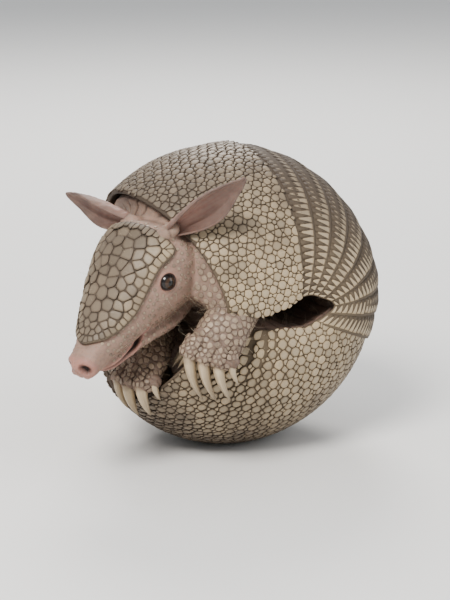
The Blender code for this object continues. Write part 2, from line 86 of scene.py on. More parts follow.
# %% Stations and reach
STATIONS = np.array((
    (-168, 90, 52, -36, -9),
    (-145, 90, 60, -24, -4),
    (-120, 90, 67, -13, -3),
    (-90, 90, 72, -4, -3),
    (-60, 90, 73, 6, -3),
    (-20, 90, 72, 19, -2),
    (0, 90, 72, 31, 4),
    (45, 90.5, 72, 21, 13),
    (85, 92, 72, 10, 14),
    (120, 95.5, 74, -7, 8),
    (150, 96, 73, -27, 7),
    (172, 93, 67, -42, 11),
), float)  # degrees, then the back's radius, half the width, and the rim's x and z, in mm
RING_REACH = math.radians(100)  # from the middle of the back to the rim
HALF_WIDTH = 72 * MM  # of most rings
HALF_RING = HALF_WIDTH * RING_REACH  # the way along a ring from the back to the rim, nearly
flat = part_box("pelvic_shield")[0].z  # the model rests on a flat under the rump
CENTRE = np.array((0.0, 0.0, flat + 88.5 * MM))


def smooth_rows(position, keys):
    """Smooth curves through rows of (position, values...), read at an array of positions."""
    where, values = keys[:, 0], keys[:, 1:]
    slopes = np.gradient(values, where, axis=0)
    position = np.clip(np.asarray(position, float), where[0], where[-1])
    i = np.clip(np.searchsorted(where, position, side="right") - 1, 0, len(where) - 2)
    span = (where[i + 1] - where[i])[..., None]
    t = (position - where[i])[..., None] / span
    return (
        (2 * t**3 - 3 * t**2 + 1) * values[i]
        + (t**3 - 2 * t**2 + t) * span * slopes[i]
        + (3 * t**2 - 2 * t**3) * values[i + 1]
        + (t**3 - t**2) * span * slopes[i + 1]
    )


def matched(first, second):
    """Two arrays of numbers of one shape."""
    return np.broadcast_arrays(np.asarray(first, float), np.asarray(second, float))


def crossed(rows, columns):
    """Both numbers of each place of a grid."""
    return np.meshgrid(rows, columns, indexing="ij")


def full_turn(count):
    return np.linspace(0, 2 * math.pi, count, endpoint=False)


def norm(vectors):
    return np.linalg.norm(vectors, axis=-1)


def unit(vectors):
    return vectors / np.maximum(np.linalg.norm(vectors, axis=-1, keepdims=True), 1e-12)


def walk_along(line):
    """How far it is from the start of a line to each of its points."""
    return np.concatenate([[0], np.cumsum(norm(np.diff(line, axis=0)))])


def rows_at(where, known, rows):
    """Rows of numbers read in between the places where they are known."""
    return np.stack([np.interp(where, known, column) for column in rows.T], -1)


def shell(station, reach, lift=0.0):
    """Points of the curl's surface and the directions that point out of it."""
    station, reach = matched(station, reach)
    radius, width, rim_x, rim_z = np.moveaxis(smooth_rows(station, STATIONS) * MM, -1, 0)
    angle = np.radians(station)
    level = np.zeros_like(radius)
    back = np.stack([np.cos(angle) * radius, level, np.sin(angle) * radius], -1)
    spoke = back - np.stack([rim_x, level, rim_z], -1)
    length = np.linalg.norm(spoke, axis=-1, keepdims=True)
    inward = spoke / length
    depth = length / (1 - math.cos(RING_REACH))
    across = np.array((0.0, 1.0, 0.0))
    turn = reach[..., None]
    point = back - inward * depth * (1 - np.cos(turn)) + across * width[..., None] * np.sin(turn)
    out = unit(inward * width[..., None] * np.cos(turn) + across * depth * np.sin(turn))
    return CENTRE + point + out * np.asarray(lift, float)[..., None], out


def smoothstep(low, high, value):
    t = np.clip((value - low) / (high - low), 0, 1)
    return t * t * (3 - 2 * t)


print("the shell is", round(float(shell(85, 0)[0][2] / MM)), "mm high at the shoulders")

# %% [markdown]
# ## The plates of the shell
#
# The shell has a shoulder shield, eight moving bands and a pelvic shield. Each is a patch of the
# curl's surface between two rings. A band tucks its front edge under the plate before it and lifts
# its rear edge over the next one, like roof tiles, and that overlap is what casts the thin dark
# lines between them. A closed plate with a half-round rim is lofted for each, because bone has no
# sharp edges.

# %% Where each plate begins and ends
BANDS_FRONT, BANDS_REAR, BAND_COUNT = 85, -20, 8
SHOULDER_FRONT, SHOULDER_SWEEP = 133, 37  # the station at the back, and how much further at the rim
PELVIS_REAR, PELVIS_SWEEP = -143, -25
TUCK = 2.0 * MM  # how far a front edge goes under the plate before it
RIM = 0.7 * MM  # radius of the rounded edges of the thin plates


def rimward(reach):
    """0 on the back and 1 at the rim."""
    return np.abs(reach) / RING_REACH


def shoulder_front(reach):
    return SHOULDER_FRONT + SHOULDER_SWEEP * rimward(reach) ** 4


def pelvis_rear(reach):
    return PELVIS_REAR + PELVIS_SWEEP * rimward(reach) ** 1.6


def band_edge(number):
    """The station where a band begins. Band 1 begins where the shoulder shield ends."""
    return BANDS_FRONT + (BANDS_REAR - BANDS_FRONT) * (number - 1) / BAND_COUNT


class Patch:
    """A stretch of shell between two rings, read at (along, across), from (0, -1) to (1, 1)."""

    def __init__(self, name, front, rear, lift, front_trim, rear_trim):
        self.name, self.front, self.rear, self.lift = name, front, rear, lift
        self.trims = front_trim, rear_trim

    def at(self, along, across, extra=0.0):
        along, across = matched(along, across)
        reach = across * RING_REACH
        first = self.front(reach) + 0 * reach
        last = self.rear(reach) + 0 * reach
        for edge, trim, sign in ((first, self.trims[0], -1), (last, self.trims[1], 1)):
            step = norm(shell(edge + 0.5, reach)[0] - shell(edge, reach)[0]) / 0.5
            edge += sign * trim / np.maximum(step, 1e-5)
        return shell(first + (last - first) * along, reach, self.lift(along, reach) + extra)


def fade(reach):
    """The plates overlap less and less towards the rim."""
    return 1 - 0.75 * rimward(reach) ** 2


def band_lift(along, reach):
    bulge = 1.4 * np.sin(np.pi * np.clip(along, 0, 1) ** 0.8)
    return (bulge + 2.4 * (along - 0.5) + 0.75) * MM * fade(reach)


def shoulder_lift(along, reach):
    return 1.9 * MM * smoothstep(0.72, 1.0, along) * fade(reach) + 0.2 * MM


def pelvic_lift(along, reach):
    return -0.5 * MM * (1 - smoothstep(0.0, 0.08, along)) + 0 * reach


def steady(station):
    return lambda reach: station + 0 * reach


patches = [
    Patch("shoulder_shield", shoulder_front, steady(BANDS_FRONT), shoulder_lift, 1.2 * MM, 0.6 * MM),
    *[Patch(f"band_{number}", steady(band_edge(number)), steady(band_edge(number + 1)), band_lift, -TUCK, RIM)
      for number in range(1, BAND_COUNT + 1)],
    Patch("pelvic_shield", steady(BANDS_REAR), pelvis_rear, pelvic_lift, -TUCK, 1.2 * MM),
]
patches = {patch.name: patch for patch in patches}
print(len(patches), "plates")

# %% [markdown]
# ## Node trees from short words
#
# Geometry Nodes and materials are both trees of nodes. One small class wraps an output socket and
# lets plain arithmetic add the Math nodes, and one method adds any other node from its type, its
# settings and what goes into its sockets. Colours and vectors go through Mix and Vector Math,
# because a Math node would turn a colour grey.

# %% A socket that can be calculated with
class Wire:
    def __init__(self, tree, socket):
        self.tree, self.socket = tree, socket

    def other(self, name):
        """Another output of the same node."""
        return Wire(self.tree, self.socket.node.outputs[name])

    def math(self, operation, *values):
        return add(self.tree, "ShaderNodeMath", {"operation": operation}, dict(enumerate((self, *values))))

    def __add__(self, value):
        return self.math("ADD", value)

    def __sub__(self, value):
        return self.math("SUBTRACT", value)

    def __rsub__(self, value):
        return add(self.tree, "ShaderNodeMath", {"operation": "SUBTRACT"}, {0: value, 1: self})

    def __mul__(self, value):
        return self.math("MULTIPLY", value)

    def __truediv__(self, value):
        return self.math("DIVIDE", value)

    __radd__, __rmul__ = __add__, __mul__

    def ramp(self, low, high):
        """0 below low and 1 above high, and smooth in between."""
        return add(self.tree, "ShaderNodeMapRange", {"interpolation_type": "SMOOTHSTEP"},
                   {"Value": self, "From Min": low, "From Max": high})


def add(tree, kind, settings=None, sockets=None, out=0):
    """Adds a node: its settings first, then the values and links of its sockets. Gives an output."""
    node = tree.nodes.new(kind)
    for name, value in (settings or {}).items():
        setattr(node, name, value)
    for name, value in (sockets or {}).items():
        if isinstance(value, Wire):
            tree.links.new(value.socket, node.inputs[name])
        else:
            node.inputs[name].default_value = value
    return Wire(tree, node.outputs[out])


def group_tree(name, inputs):
    """A Geometry Nodes tree with named number inputs. Gives the tree, its geometry and the numbers."""
    tree = bpy.data.node_groups.new(name, "GeometryNodeTree")
    tree.interface.new_socket("Geometry", in_out="INPUT", socket_type="NodeSocketGeometry")
    for label, default in inputs.items():
        kind = {int: "NodeSocketInt", float: "NodeSocketFloat"}[type(default)]
        tree.interface.new_socket(label, in_out="INPUT", socket_type=kind).default_value = default
    tree.interface.new_socket("Geometry", in_out="OUTPUT", socket_type="NodeSocketGeometry")
    source = tree.nodes.new("NodeGroupInput")
    wires = [Wire(tree, socket) for socket in source.outputs if socket.name]
    return tree, wires[0], dict(zip(inputs, wires[1:]))


def finish_tree(tree, geometry, material):
    """Every tree ends in Realize Instances and Set Material."""
    real = add(tree, "GeometryNodeRealizeInstances", {}, {"Geometry": geometry})
    painted = add(tree, "GeometryNodeSetMaterial", {}, {"Geometry": real, "Material": material})
    sink = tree.nodes.new("NodeGroupOutput")
    tree.links.new(painted.socket, sink.inputs[0])
    return tree


def on_scene(name, data):
    """A new object, linked to the scene."""
    made = bpy.data.objects.new(name, data)
    bpy.context.scene.collection.objects.link(made)
    return made


def evaluated_mesh(carrier):
    """The mesh that an object's modifiers make. The object itself is no longer needed."""
    made = bpy.data.meshes.new_from_object(carrier.evaluated_get(bpy.context.evaluated_depsgraph_get()))
    bpy.data.objects.remove(carrier)
    return made


def grown(name, mesh, tree, **numbers):
    """The plain mesh that a tree makes from a mesh, with some of its numbers set."""
    carrier = on_scene(name + "_source", mesh)
    modifier = carrier.modifiers.new("nodes", "NODES")
    modifier.node_group = tree
    for item in tree.interface.items_tree:
        if item.in_out == "INPUT" and item.name in numbers:
            modifier[item.identifier] = numbers[item.name]
    made = evaluated_mesh(carrier)
    made.name = name
    return made


print("node helpers are ready")

# %% Meshes from arrays
def write_values(mesh, label, values):
    """Stores one number for each point of a mesh."""
    mesh.attributes.new(label, "FLOAT", "POINT").data.foreach_set("value", np.asarray(values, np.float32))


def mesh_of(name, points, faces, attributes=None, smooth=True):
    """A mesh from points and faces. Attributes are {label: a number for each point}."""
    mesh = bpy.data.meshes.new(name)
    mesh.from_pydata([tuple(p) for p in points], [], [tuple(int(i) for i in f) for f in faces])
    for label, values in (attributes or {}).items():
        write_values(mesh, label, values)
    if smooth:
        mesh.shade_smooth()
    return mesh


def arrays_of(mesh):
    """The points of a mesh and their normals."""
    co = np.empty(len(mesh.vertices) * 3)
    mesh.vertices.foreach_get("co", co)
    normals = np.empty(len(mesh.vertices) * 3, np.float32)
    mesh.vertex_normals.foreach_get("vector", normals)
    return co.reshape(-1, 3), normals.reshape(-1, 3).astype(float)


def moved(mesh, co):
    """The mesh with its points in new places."""
    mesh.vertices.foreach_set("co", co.reshape(-1))
    mesh.update()
    return mesh


def grid_faces(rows, columns, first=0, closed=False):
    """Quads of a grid of points, row by row. Rings may close on themselves."""
    last = columns if closed else columns - 1
    i, k = crossed(np.arange(rows - 1), np.arange(last))
    j = (k + 1) % columns
    return np.stack(
        [i * columns + k, i * columns + j, (i + 1) * columns + j, (i + 1) * columns + k], -1
    ).reshape(-1, 4) + first


def merged(name, meshes):
    """One mesh of several, keeping their attributes and materials."""
    parts = [on_scene(mesh.name, mesh) for mesh in meshes]
    with bpy.context.temp_override(
        active_object=parts[0], object=parts[0], selected_objects=parts, selected_editable_objects=parts
    ):
        bpy.ops.object.join()
    made = parts[0].data
    bpy.data.objects.remove(parts[0])
    made.name = name
    return made


def outward(mesh):
    """Turns the faces of closed meshes outwards."""
    bm = bmesh.new()
    bm.from_mesh(mesh)
    bmesh.ops.recalc_face_normals(bm, faces=bm.faces)
    bm.to_mesh(mesh)
    bm.free()
    return mesh


def settled(mesh):
    """Flattens whatever would sink into the floor."""
    co = arrays_of(mesh)[0]
    co[:, 2] = np.maximum(co[:, 2], flat)
    return moved(mesh, co)


def triangles(mesh):
    mesh.calc_loop_triangles()
    return len(mesh.loop_triangles)


def piece(name, mesh, materials, stands_for=()):
    """A finished piece: an object at the origin that rides on the model's one body."""
    made = on_scene(name, mesh)
    if materials:
        mesh.materials.clear()
        for material in materials:
            mesh.materials.append(material)
    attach(made, "root")
    if stands_for:
        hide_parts(*stands_for)
    print(f"{name}: {triangles(mesh)} triangles")
    return made


# %% [markdown]
# ## A plate with a rounded rim
#
# A plate is lofted as a grid of its outer face and a grid of its inner face, and the two are joined
# round the edge by a half circle. That closes it, gives the edge a highlight, and lets light catch
# the lip where one band rides over the next.

# %% The plate maker
RIM_STEPS = 4  # faces round the half circle of a rim


def paint(flank, tone):
    """What a plate or its scutes carry for their finish. Raising the scutes sets their rise."""
    return {"flank": flank + 0 * tone, "tone": tone + 0 * flank, "rise": 0 * (flank + tone)}


def rounded_plate(name, outer, outs, thickness, attributes):
    """A closed plate from rows of outer points, thickened inwards, with a half-round rim."""
    rows, columns = outer.shape[:2]
    radius = thickness / 2
    r = np.concatenate([np.zeros(columns - 1), np.arange(rows - 1), np.full(columns - 1, rows - 1),
                        np.arange(rows - 1, 0, -1)]).astype(int)
    c = np.concatenate([np.arange(columns - 1), np.full(rows - 1, columns - 1),
                        np.arange(columns - 1, 0, -1), np.zeros(rows - 1)]).astype(int)
    edge, normal = outer[r, c], outs[r, c]
    inside = outer[np.clip(r, 1, rows - 2), np.clip(c, 1, columns - 2)]
    away = edge - inside
    away = unit(away - normal * (away * normal).sum(-1, keepdims=True))
    points = [outer.reshape(-1, 3), (outer - outs * thickness).reshape(-1, 3)]
    count = rows * columns
    rings = [r * columns + c]
    for k in range(1, RIM_STEPS):
        turn = math.pi * k / RIM_STEPS
        points.append(edge + away * radius * math.sin(turn) - normal * radius * (1 - math.cos(turn)))
        rings.append(2 * count + (k - 1) * len(r) + np.arange(len(r)))
    rings.append(count + r * columns + c)
    faces = [grid_faces(rows, columns), grid_faces(rows, columns, count)[:, ::-1]]
    for near, far in zip(rings, rings[1:]):
        faces.append(np.stack([near, far, np.roll(far, -1), np.roll(near, -1)], -1))
    layers = {}
    for label, values in attributes.items():
        rim = np.tile(values[r, c], RIM_STEPS - 1)
        layers[label] = np.concatenate([values.reshape(-1), values.reshape(-1), rim])
    return outward(mesh_of(name, np.concatenate(points), np.concatenate(faces), layers))


def patch_plate(patch, rows, columns, thickness, sink=0.0):
    """A patch of the shell as a closed plate, its outer face sunk a little below the scutes."""
    shrink = 1 - 0.8 * (thickness / 2) / HALF_WIDTH
    along, across = crossed(np.linspace(0, 1, rows), np.linspace(-shrink, shrink, columns))
    outer, outs = patch.at(along, across, -sink)
    return rounded_plate(patch.name, outer, outs, thickness, paint(np.abs(across), 0.5))


print("the plate maker is ready")

# %% [markdown]
# ## Scutes: cells that fit together
#
# Horny scutes grow outwards from many centres until they meet, and a Voronoi pattern is just that:
# each cell holds the places nearest to its own centre. Giving each centre a radius makes a weighted
# pattern, in which large scutes are ringed by small ones, as on the shoulders and rump. Each cell is
# cut in the flat plane that touches the surface at its centre, by the lines half-way to its
# neighbours.

# %% The cell cutter
def point_tree(points):
    tree = KDTree(len(points))
    for i, point in enumerate(points):
        tree.insert(point, i)
    tree.balance()
    return tree


def clip_cell(cell, nx, ny, limit):
    """The part of a flat polygon on the near side of a line."""
    kept = []
    for (ax, ay), (bx, by) in zip(cell, cell[1:] + cell[:1]):
        a, b = nx * ax + ny * ay - limit, nx * bx + ny * by - limit
        if a <= 0:
            kept.append((ax, ay))
        if a * b < 0:
            t = a / (a - b)
            kept.append((ax + (bx - ax) * t, ay + (by - ay) * t))
    return kept


def soften(cell, cut):
    """The polygon with its corners cut off."""
    made = []
    for (px, py), (qx, qy) in zip(cell, cell[1:] + cell[:1]):
        made += [(px + (qx - px) * cut, py + (qy - py) * cut), (qx - (qx - px) * cut, qy - (qy - py) * cut)]
    return made


def tidy_cell(cell, least):
    """Drops corners that nearly coincide."""
    kept = []
    for point in cell:
        if not kept or math.dist(point, kept[-1]) > least:
            kept.append(point)
    if len(kept) > 1 and math.dist(kept[0], kept[-1]) <= least:
        kept.pop()
    return kept


def mosaic(places, outs, radii, kept, largest, corner=0.22):
    """Flat cells round the kept places. Gives, for each, its place's number and its 3D corners."""
    tree = point_tree(places)
    made, reaches = [], np.broadcast_to(largest, len(places))
    for i in np.nonzero(kept)[0]:
        normal, reach = outs[i], reaches[i]
        east = np.cross((0.3, 1.0, 0.2), normal)
        east /= np.linalg.norm(east)
        north = np.cross(normal, east)
        near = [j for _, j, _ in tree.find_range(places[i], 2 * reach) if j != i and outs[j] @ normal > 0.1]
        away = places[near] - places[i]
        xs, ys = away @ east, away @ north
        distance = np.hypot(xs, ys)
        cell = [(reach * math.cos(a), reach * math.sin(a)) for a in np.arange(8) * math.pi / 4]
        for k in np.argsort(distance):
            d = max(distance[k], 1e-6)
            limit = (d * d + radii[i] ** 2 - radii[near[k]] ** 2) / (2 * d)
            cell = clip_cell(cell, xs[k] / d, ys[k] / d, limit)
            if len(cell) < 3:
                break
        cell = tidy_cell(cell, 0.06 * reach)
        if len(cell) < 3:
            continue
        if len(cell) < 9:
            cell = tidy_cell(soften(cell, corner), 0.03 * reach)
        made.append((i, [places[i] + x * east + y * north for x, y in cell]))
    return made


def cells_mesh(name, cells, values):
    """A mesh with one separate face for each cell, which carries the cell's values on its corners."""
    points, faces, layers = [], [], {label: [] for label in values}
    for i, corners in cells:
        faces.append(range(len(points), len(points) + len(corners)))
        points += corners
        for label, column in values.items():
            layers[label] += [column[i]] * len(corners)
    return mesh_of(name, points, faces, layers, smooth=False)


print("the cell cutter is ready")

# %% [markdown]
# ## Raising the scutes
#
# On the animal each scute is a low pillow of horn over its own plate of bone, with a narrow soft
# groove round it. The tree below takes the flat cells and does what growth did: it draws each one
# in by half a groove, closes it underneath, and pushes it up in three steps, each a little smaller
# than the last. It also marks how high each ring stands, for the paint.

# %% The scute tree
def scute_tree(name, material):
    sizes = {"Groove": 0.0005, "Height": 0.0006, "Bevel": 0.86, "Crown": 0.6, "Sink": 0.0004}
    tree, cells, n = group_tree(name, sizes)
    across = add(tree, "GeometryNodeInputMeshFaceArea").math("SQRT")
    drawn_in = add(tree, "GeometryNodeScaleElements", {"domain": "FACE", "scale_mode": "UNIFORM"},
                   {"Geometry": cells, "Scale": (1 - n["Groove"] / across).math("MAXIMUM", 0.4)})
    down = add(tree, "ShaderNodeVectorMath", {"operation": "SCALE"},
               {0: add(tree, "GeometryNodeInputNormal"), "Scale": n["Sink"] * -1})
    top = add(tree, "GeometryNodeSetPosition", {}, {"Geometry": drawn_in, "Offset": down})
    under = add(tree, "GeometryNodeFlipFaces", {}, {"Mesh": top})
    newest = {}
    for rise, kept, mark in (
        (n["Sink"] + n["Height"] * 0.5, 1.0, 0.3),
        (n["Height"] * 0.36, n["Bevel"], 0.8),
        (n["Height"] * 0.14, n["Crown"], 1.0),
    ):
        push = add(tree, "GeometryNodeExtrudeMesh", {"mode": "FACES"},
                   {"Mesh": top, "Offset Scale": rise, "Individual": True, **newest})
        newest = {"Selection": push.other("Top")}
        scaled = add(tree, "GeometryNodeScaleElements", {"domain": "FACE", "scale_mode": "UNIFORM"},
                     {"Geometry": push, "Scale": kept, **newest})
        top = add(tree, "GeometryNodeStoreNamedAttribute", {"data_type": "FLOAT", "domain": "POINT"},
                  {"Geometry": scaled, "Name": "rise", "Value": mark, **newest})
    joined = add(tree, "GeometryNodeJoinGeometry")
    for wire in (under, top):
        tree.links.new(wire.socket, joined.socket.node.inputs[0])
    welded = add(tree, "GeometryNodeMergeByDistance", {}, {"Geometry": joined, "Distance": 1e-6})
    return finish_tree(tree, add(tree, "GeometryNodeSetShadeSmooth", {}, {"Geometry": welded}), material)


print("the scute tree is ready")

# %% [markdown]
# ## The colour and wear of the shell
#
# The shell of a nine-banded armadillo is grey-brown along the back, where it is darkest, and pales
# to a yellow ivory at the rims. No two scutes match, the horn on their crowns is scraped paler, and
# the grooves between them are darker. All of that hangs on three numbers carried by the mesh: how far
# a place is down the flank, how high it stands on its scute, and a chance tone for each scute.

# %% A finish in which scutes, grooves and flanks differ
def colour_mix(tree, factor, first, second, blend="MIX"):
    first, second = (colour if isinstance(colour, Wire) else (*colour, 1) for colour in (first, second))
    return add(tree, "ShaderNodeMix", {"data_type": "RGBA", "blend_type": blend},
               {0: factor, 6: first, 7: second}, out=2)


def coated(tree, body, *coats):
    """A colour with others laid over it, each given as (how much of it, colour)."""
    for amount, colour in coats:
        body = colour_mix(tree, amount, body, colour)
    return body


def attribute(tree, name):
    return add(tree, "ShaderNodeAttribute", {"attribute_name": name}, out="Fac")


def object_place(tree):
    return add(tree, "ShaderNodeTexCoord", out="Object")


def noise_at(tree, scale, detail, stretch=None):
    place = object_place(tree)
    if stretch:
        place = add(tree, "ShaderNodeMapping", {}, {"Vector": place, "Scale": stretch})
    return add(tree, "ShaderNodeTexNoise", {},
               {"Vector": place, "Scale": scale, "Detail": detail, "Roughness": 0.55})


def pebbles_at(tree, scale):
    return add(tree, "ShaderNodeTexVoronoi", {"feature": "F1"},
               {"Vector": object_place(tree), "Scale": scale})


def finish(name, **constants):
    """A material, its tree and its shader, with the shader's constants set."""
    made = bpy.data.materials.new(name)
    made.use_nodes = True
    shader = made.node_tree.nodes["Principled BSDF"]
    for label, value in constants.items():
        shader.inputs[label.replace("_", " ")].default_value = value
    return made, made.node_tree, shader


def feed(tree, shader, bump=None, distance=0.12 * MM, strength=0.5, **wires):
    """Links the shader's inputs, and its normal to a bump of the given depth."""
    for label, wire in wires.items():
        tree.links.new(wire.socket, shader.inputs[label.replace("_", " ")])
    if bump:
        node = add(tree, "ShaderNodeBump", {}, {"Strength": strength, "Distance": distance, "Height": bump})
        tree.links.new(node.socket, shader.inputs["Normal"])


def shell_finish():
    made, tree, shader = finish("shell horn", IOR=1.5)
    tone, rise, side = (attribute(tree, label) for label in ("tone", "rise", "flank"))
    cloud, fine, streak = noise_at(tree, 38, 4), noise_at(tree, 900, 3), noise_at(tree, 2600, 2, (1, 1, 0.25))
    down = (side + (cloud - 0.5) * 0.6).ramp(0.18, 0.95)
    body = colour_mix(tree, down, (0.130, 0.101, 0.076), (0.40, 0.320, 0.215))
    chance = colour_mix(tree, tone, (0.62, 0.60, 0.58), (1.38, 1.34, 1.26))
    body = colour_mix(tree, 1.0, body, chance, "MULTIPLY")
    worn = (rise.ramp(0.6, 1.0) * (0.25 + 0.5 * cloud) * (0.6 + 0.5 * fine)).ramp(0.1, 0.62)
    # the grooves and the low walls of each scute are made darker, most where the rise is lowest
    groove_darkening = (1 - rise.ramp(0.0, 0.6)) * (0.5 + 0.5 * cloud)
    body = coated(
        tree, body,
        (worn * (0.22 + 0.42 * down), (0.52, 0.435, 0.315)),
        (groove_darkening.math("MINIMUM", 0.92), (0.062, 0.045, 0.033)),
        (fine.ramp(0.35, 0.75) * 0.22, (0.10, 0.08, 0.06)),
    )
    feed(tree, shader, Base_Color=body, Roughness=0.72 - rise * 0.22 + (fine - 0.5) * 0.25,
         bump=fine * 0.7 + streak * 0.35, strength=0.55)
    return made


shell_horn = shell_finish()
print("finish:", shell_horn.name)

# %% [markdown]
# ## Scutes of the shoulder and rump shields
#
# These shields are mosaics: rows of round scutes 6 to 7 mm across, with small ones wherever three
# large ones meet. The rows follow the length of the animal. Towards the rim a row is shorter, so it
# holds fewer scutes instead of narrower ones, which leaves the same small faults in the pattern
# that a real shield has. Centres just outside the edge are laid too, so that the last scutes end in
# a straight line along it.

# %% Rows of centres on a patch
def rows_of_centres(patch, size, seed):
    """(along, across) of scute centres in rows, and whether each lies inside the edges."""
    chance = np.random.default_rng(seed)
    fine = np.linspace(-1, 1, 161)
    walked = walk_along(patch.at(0.5, fine)[0])
    rows = max(3, round(walked[-1] / (size * 0.87)))
    placed = []
    for k in range(-1, rows + 1):
        distance = (k + 0.5) / rows * walked[-1]
        across = np.interp(distance, walked, fine)
        across += (distance - min(max(distance, 0), walked[-1])) / HALF_RING
        run = patch.at(np.linspace(0, 1, 25), min(max(across, -1), 1))[0]
        length = norm(np.diff(run, axis=0)).sum()
        count = max(2, round(length / size))
        steps = np.arange(-1, count + 1) + 0.5 if k % 2 == 0 else np.concatenate(
            [[-0.28, 0.28], np.arange(1, count), [count - 0.28, count + 0.28]])
        for step in steps:
            inside = 0 <= k < rows and 0 < step < count
            jitter = chance.normal(0, 0.055, 2) if inside else (0, 0)
            placed.append(((step + jitter[0]) / count, across + jitter[1] * size / HALF_RING, inside))
    placed = np.array(placed)
    return placed[:, 0], placed[:, 1], placed[:, 2] > 0.5


def gaps_between(cells, size):
    """Places where three cells meet, each once."""
    corners = np.array([c for _, ring in cells for c in ring])
    tree = point_tree(corners)
    used, found = np.zeros(len(corners), bool), []
    for i, c in enumerate(corners):
        if used[i]:
            continue
        group = [j for _, j, _ in tree.find_range(c, 0.3 * size)]
        used[group] = True
        if len(group) >= 3:
            found.append(corners[group].mean(0))
    return np.array(found)


def shield_cells(patch, size, seed):
    """The cells of a shield: large ones in rows, and small ones where three of them meet."""
    along, across, inside = rows_of_centres(patch, size, seed)
    places, outs = patch.at(along, across)
    plain = mosaic(places, outs, np.full(len(places), size / 2), inside, size, corner=0.0)
    meets = gaps_between(plain, size)
    tree = point_tree(places)
    nearest = [tree.find(p)[1] for p in meets]
    chance = np.random.default_rng(seed + 1)
    radii = np.concatenate([np.full(len(places), 0.40 * size), np.full(len(meets), 0.20 * size)])
    radii = radii * chance.uniform(0.93, 1.07, len(radii))
    kept = np.concatenate([inside, np.ones(len(meets), bool)])
    tone = np.clip(chance.normal(0.5, 0.2, len(radii)), 0, 1)
    tone[len(places):] = np.clip(tone[len(places):] - 0.12, 0, 1)
    flank = np.abs(np.concatenate([across, across[nearest]]))
    places, outs = np.concatenate([places, meets]), np.concatenate([outs, outs[nearest]])
    cells = mosaic(places, outs, radii, kept, size * 0.95)
    return cells_mesh(patch.name + "_cells", cells, paint(flank, tone))


def shell_piece(name, base, raised, nodes):
    """A piece of shell: a base plate and the scutes on it."""
    base.materials.append(shell_horn)
    piece(name, settled(merged(name, [base, raised])), [shell_horn], nodes)


scutes = scute_tree("scutes", shell_horn)
for name, size, seed in (("shoulder_shield", 6.6 * MM, 5), ("pelvic_shield", 7.2 * MM, 9)):
    cells = shield_cells(patches[name], size, seed)
    raised = grown(name + "_scutes", cells, scutes, Groove=0.28 * MM, Height=0.6 * MM)
    print(name, len(cells.polygons), "scutes")
    shell_piece(name, patch_plate(patches[name], 34, 65, 2.4 * MM, 0.05 * MM), raised, [name])

# %% [markdown]
# ## Scutes of the bands
#
# A band is one ring of long scutes, and their horn grows as tall wedges that point forwards and
# backwards in turn, so that a band looks like a row of sharp teeth fitted into another row. There
# are about sixty of each across a band. They are drawn straight on the band with its own two
# numbers, and the same tree raises them.

# %% Wedges on the bands
WEDGES = 58
# outlines of half a wedge that points forwards and of half a wedge that points backwards: how far
# along the band, and how far to the side as a share of the space that a wedge has
POINTS_FORWARDS = ((0.93, 0.44), (0.80, 0.40), (0.34, 0.16), (0.30, 0.07))
POINTS_BACKWARDS = ((0.19, 0.46), (0.30, 0.42), (0.70, 0.12), (0.76, 0.05))


def wedge_cells(patch, seed):
    chance = np.random.default_rng(seed)
    fine = np.linspace(-0.985, 0.985, 241)
    walked = walk_along(patch.at(0.6, fine)[0])
    centres = np.interp(np.linspace(0, walked[-1], WEDGES + 1), walked, fine)
    cells, flank, tone = [], [], []
    for centre, wide in zip(centres, np.gradient(centres)):
        wobble = chance.uniform(-0.03, 0.03)
        for middle, outline, usual in (
            (centre, POINTS_FORWARDS, 0.66), (centre + wide / 2, POINTS_BACKWARDS, 0.34)
        ):
            if middle > centres[-1]:
                continue
            sides = [(a + wobble, middle + s * wide) for a, s in outline]
            sides += [(a + wobble, middle - s * wide) for a, s in reversed(outline)]
            along, across = np.array(sides).T
            cells.append((len(cells), list(patch.at(along, np.clip(across, -0.99, 0.99))[0])))
            flank.append(abs(middle))
            tone.append(np.clip(chance.normal(usual, 0.13), 0, 1))
    return cells_mesh(patch.name + "_cells", cells, paint(np.array(flank), np.array(tone)))


for number in range(1, BAND_COUNT + 1):
    name = f"band_{number}"
    raised = grown(name + "_scutes", wedge_cells(patches[name], 40 + number), scutes,
                   Groove=0.2 * MM, Height=0.32 * MM, Bevel=0.88, Crown=0.75, Sink=0.25 * MM)
    shell_piece(name, patch_plate(patches[name], 12, 121, 2 * RIM), raised, [name])

# %% [markdown]
# ## The shapes under the skin
#
# Skin hangs on a body, so the body comes first: a trunk that follows the inside of the shell, a
# thick neck, the long narrow head with its lower jaw, and four legs with their toes. Each is a loft
# of rings or a tube along a smooth path, at the same sizes as the solids. They overlap freely,
# because the next step melts them together.

# %% The head's own axes and sections
NOSE_TIP = CENTRE + np.array((-121.7, -43.5, -19.4)) * MM
HEAD_TURN, HEAD_DROP = math.radians(18), math.radians(42)  # to the animal's left, and the nose down
HEAD_TO_WORLD = np.array(
    Matrix.Translation(Vector(NOSE_TIP))
    @ Matrix.Rotation(math.pi, 4, "Z")
    @ Matrix.Rotation(HEAD_TURN, 4, "Z")
    @ Matrix.Rotation(HEAD_DROP, 4, "Y")
)
SQUARENESS = 2.3  # of the head's sections: 2 would be an ellipse
HEAD_SECTIONS = np.array((
    (0, 6.8, 6.4, -5.6),
    (3.5, 9, 8.2, -7),
    (8, 10.4, 9, -7.4),
    (15, 11.8, 9.6, -8),
    (26, 15.6, 12.2, -10.5),
    (41, 21, 17, -14.5),
    (54, 25.5, 21.5, -20),
    (67, 29.5, 25, -25),
    (80, 31.5, 26, -29),
    (91, 30.5, 24.5, -29.5),
    (97, 27, 19, -28),
    (102, 22, 11, -24),
    (107, 12, 2, -14),
), float)  # mm behind the nose tip, then half width, crown and underside
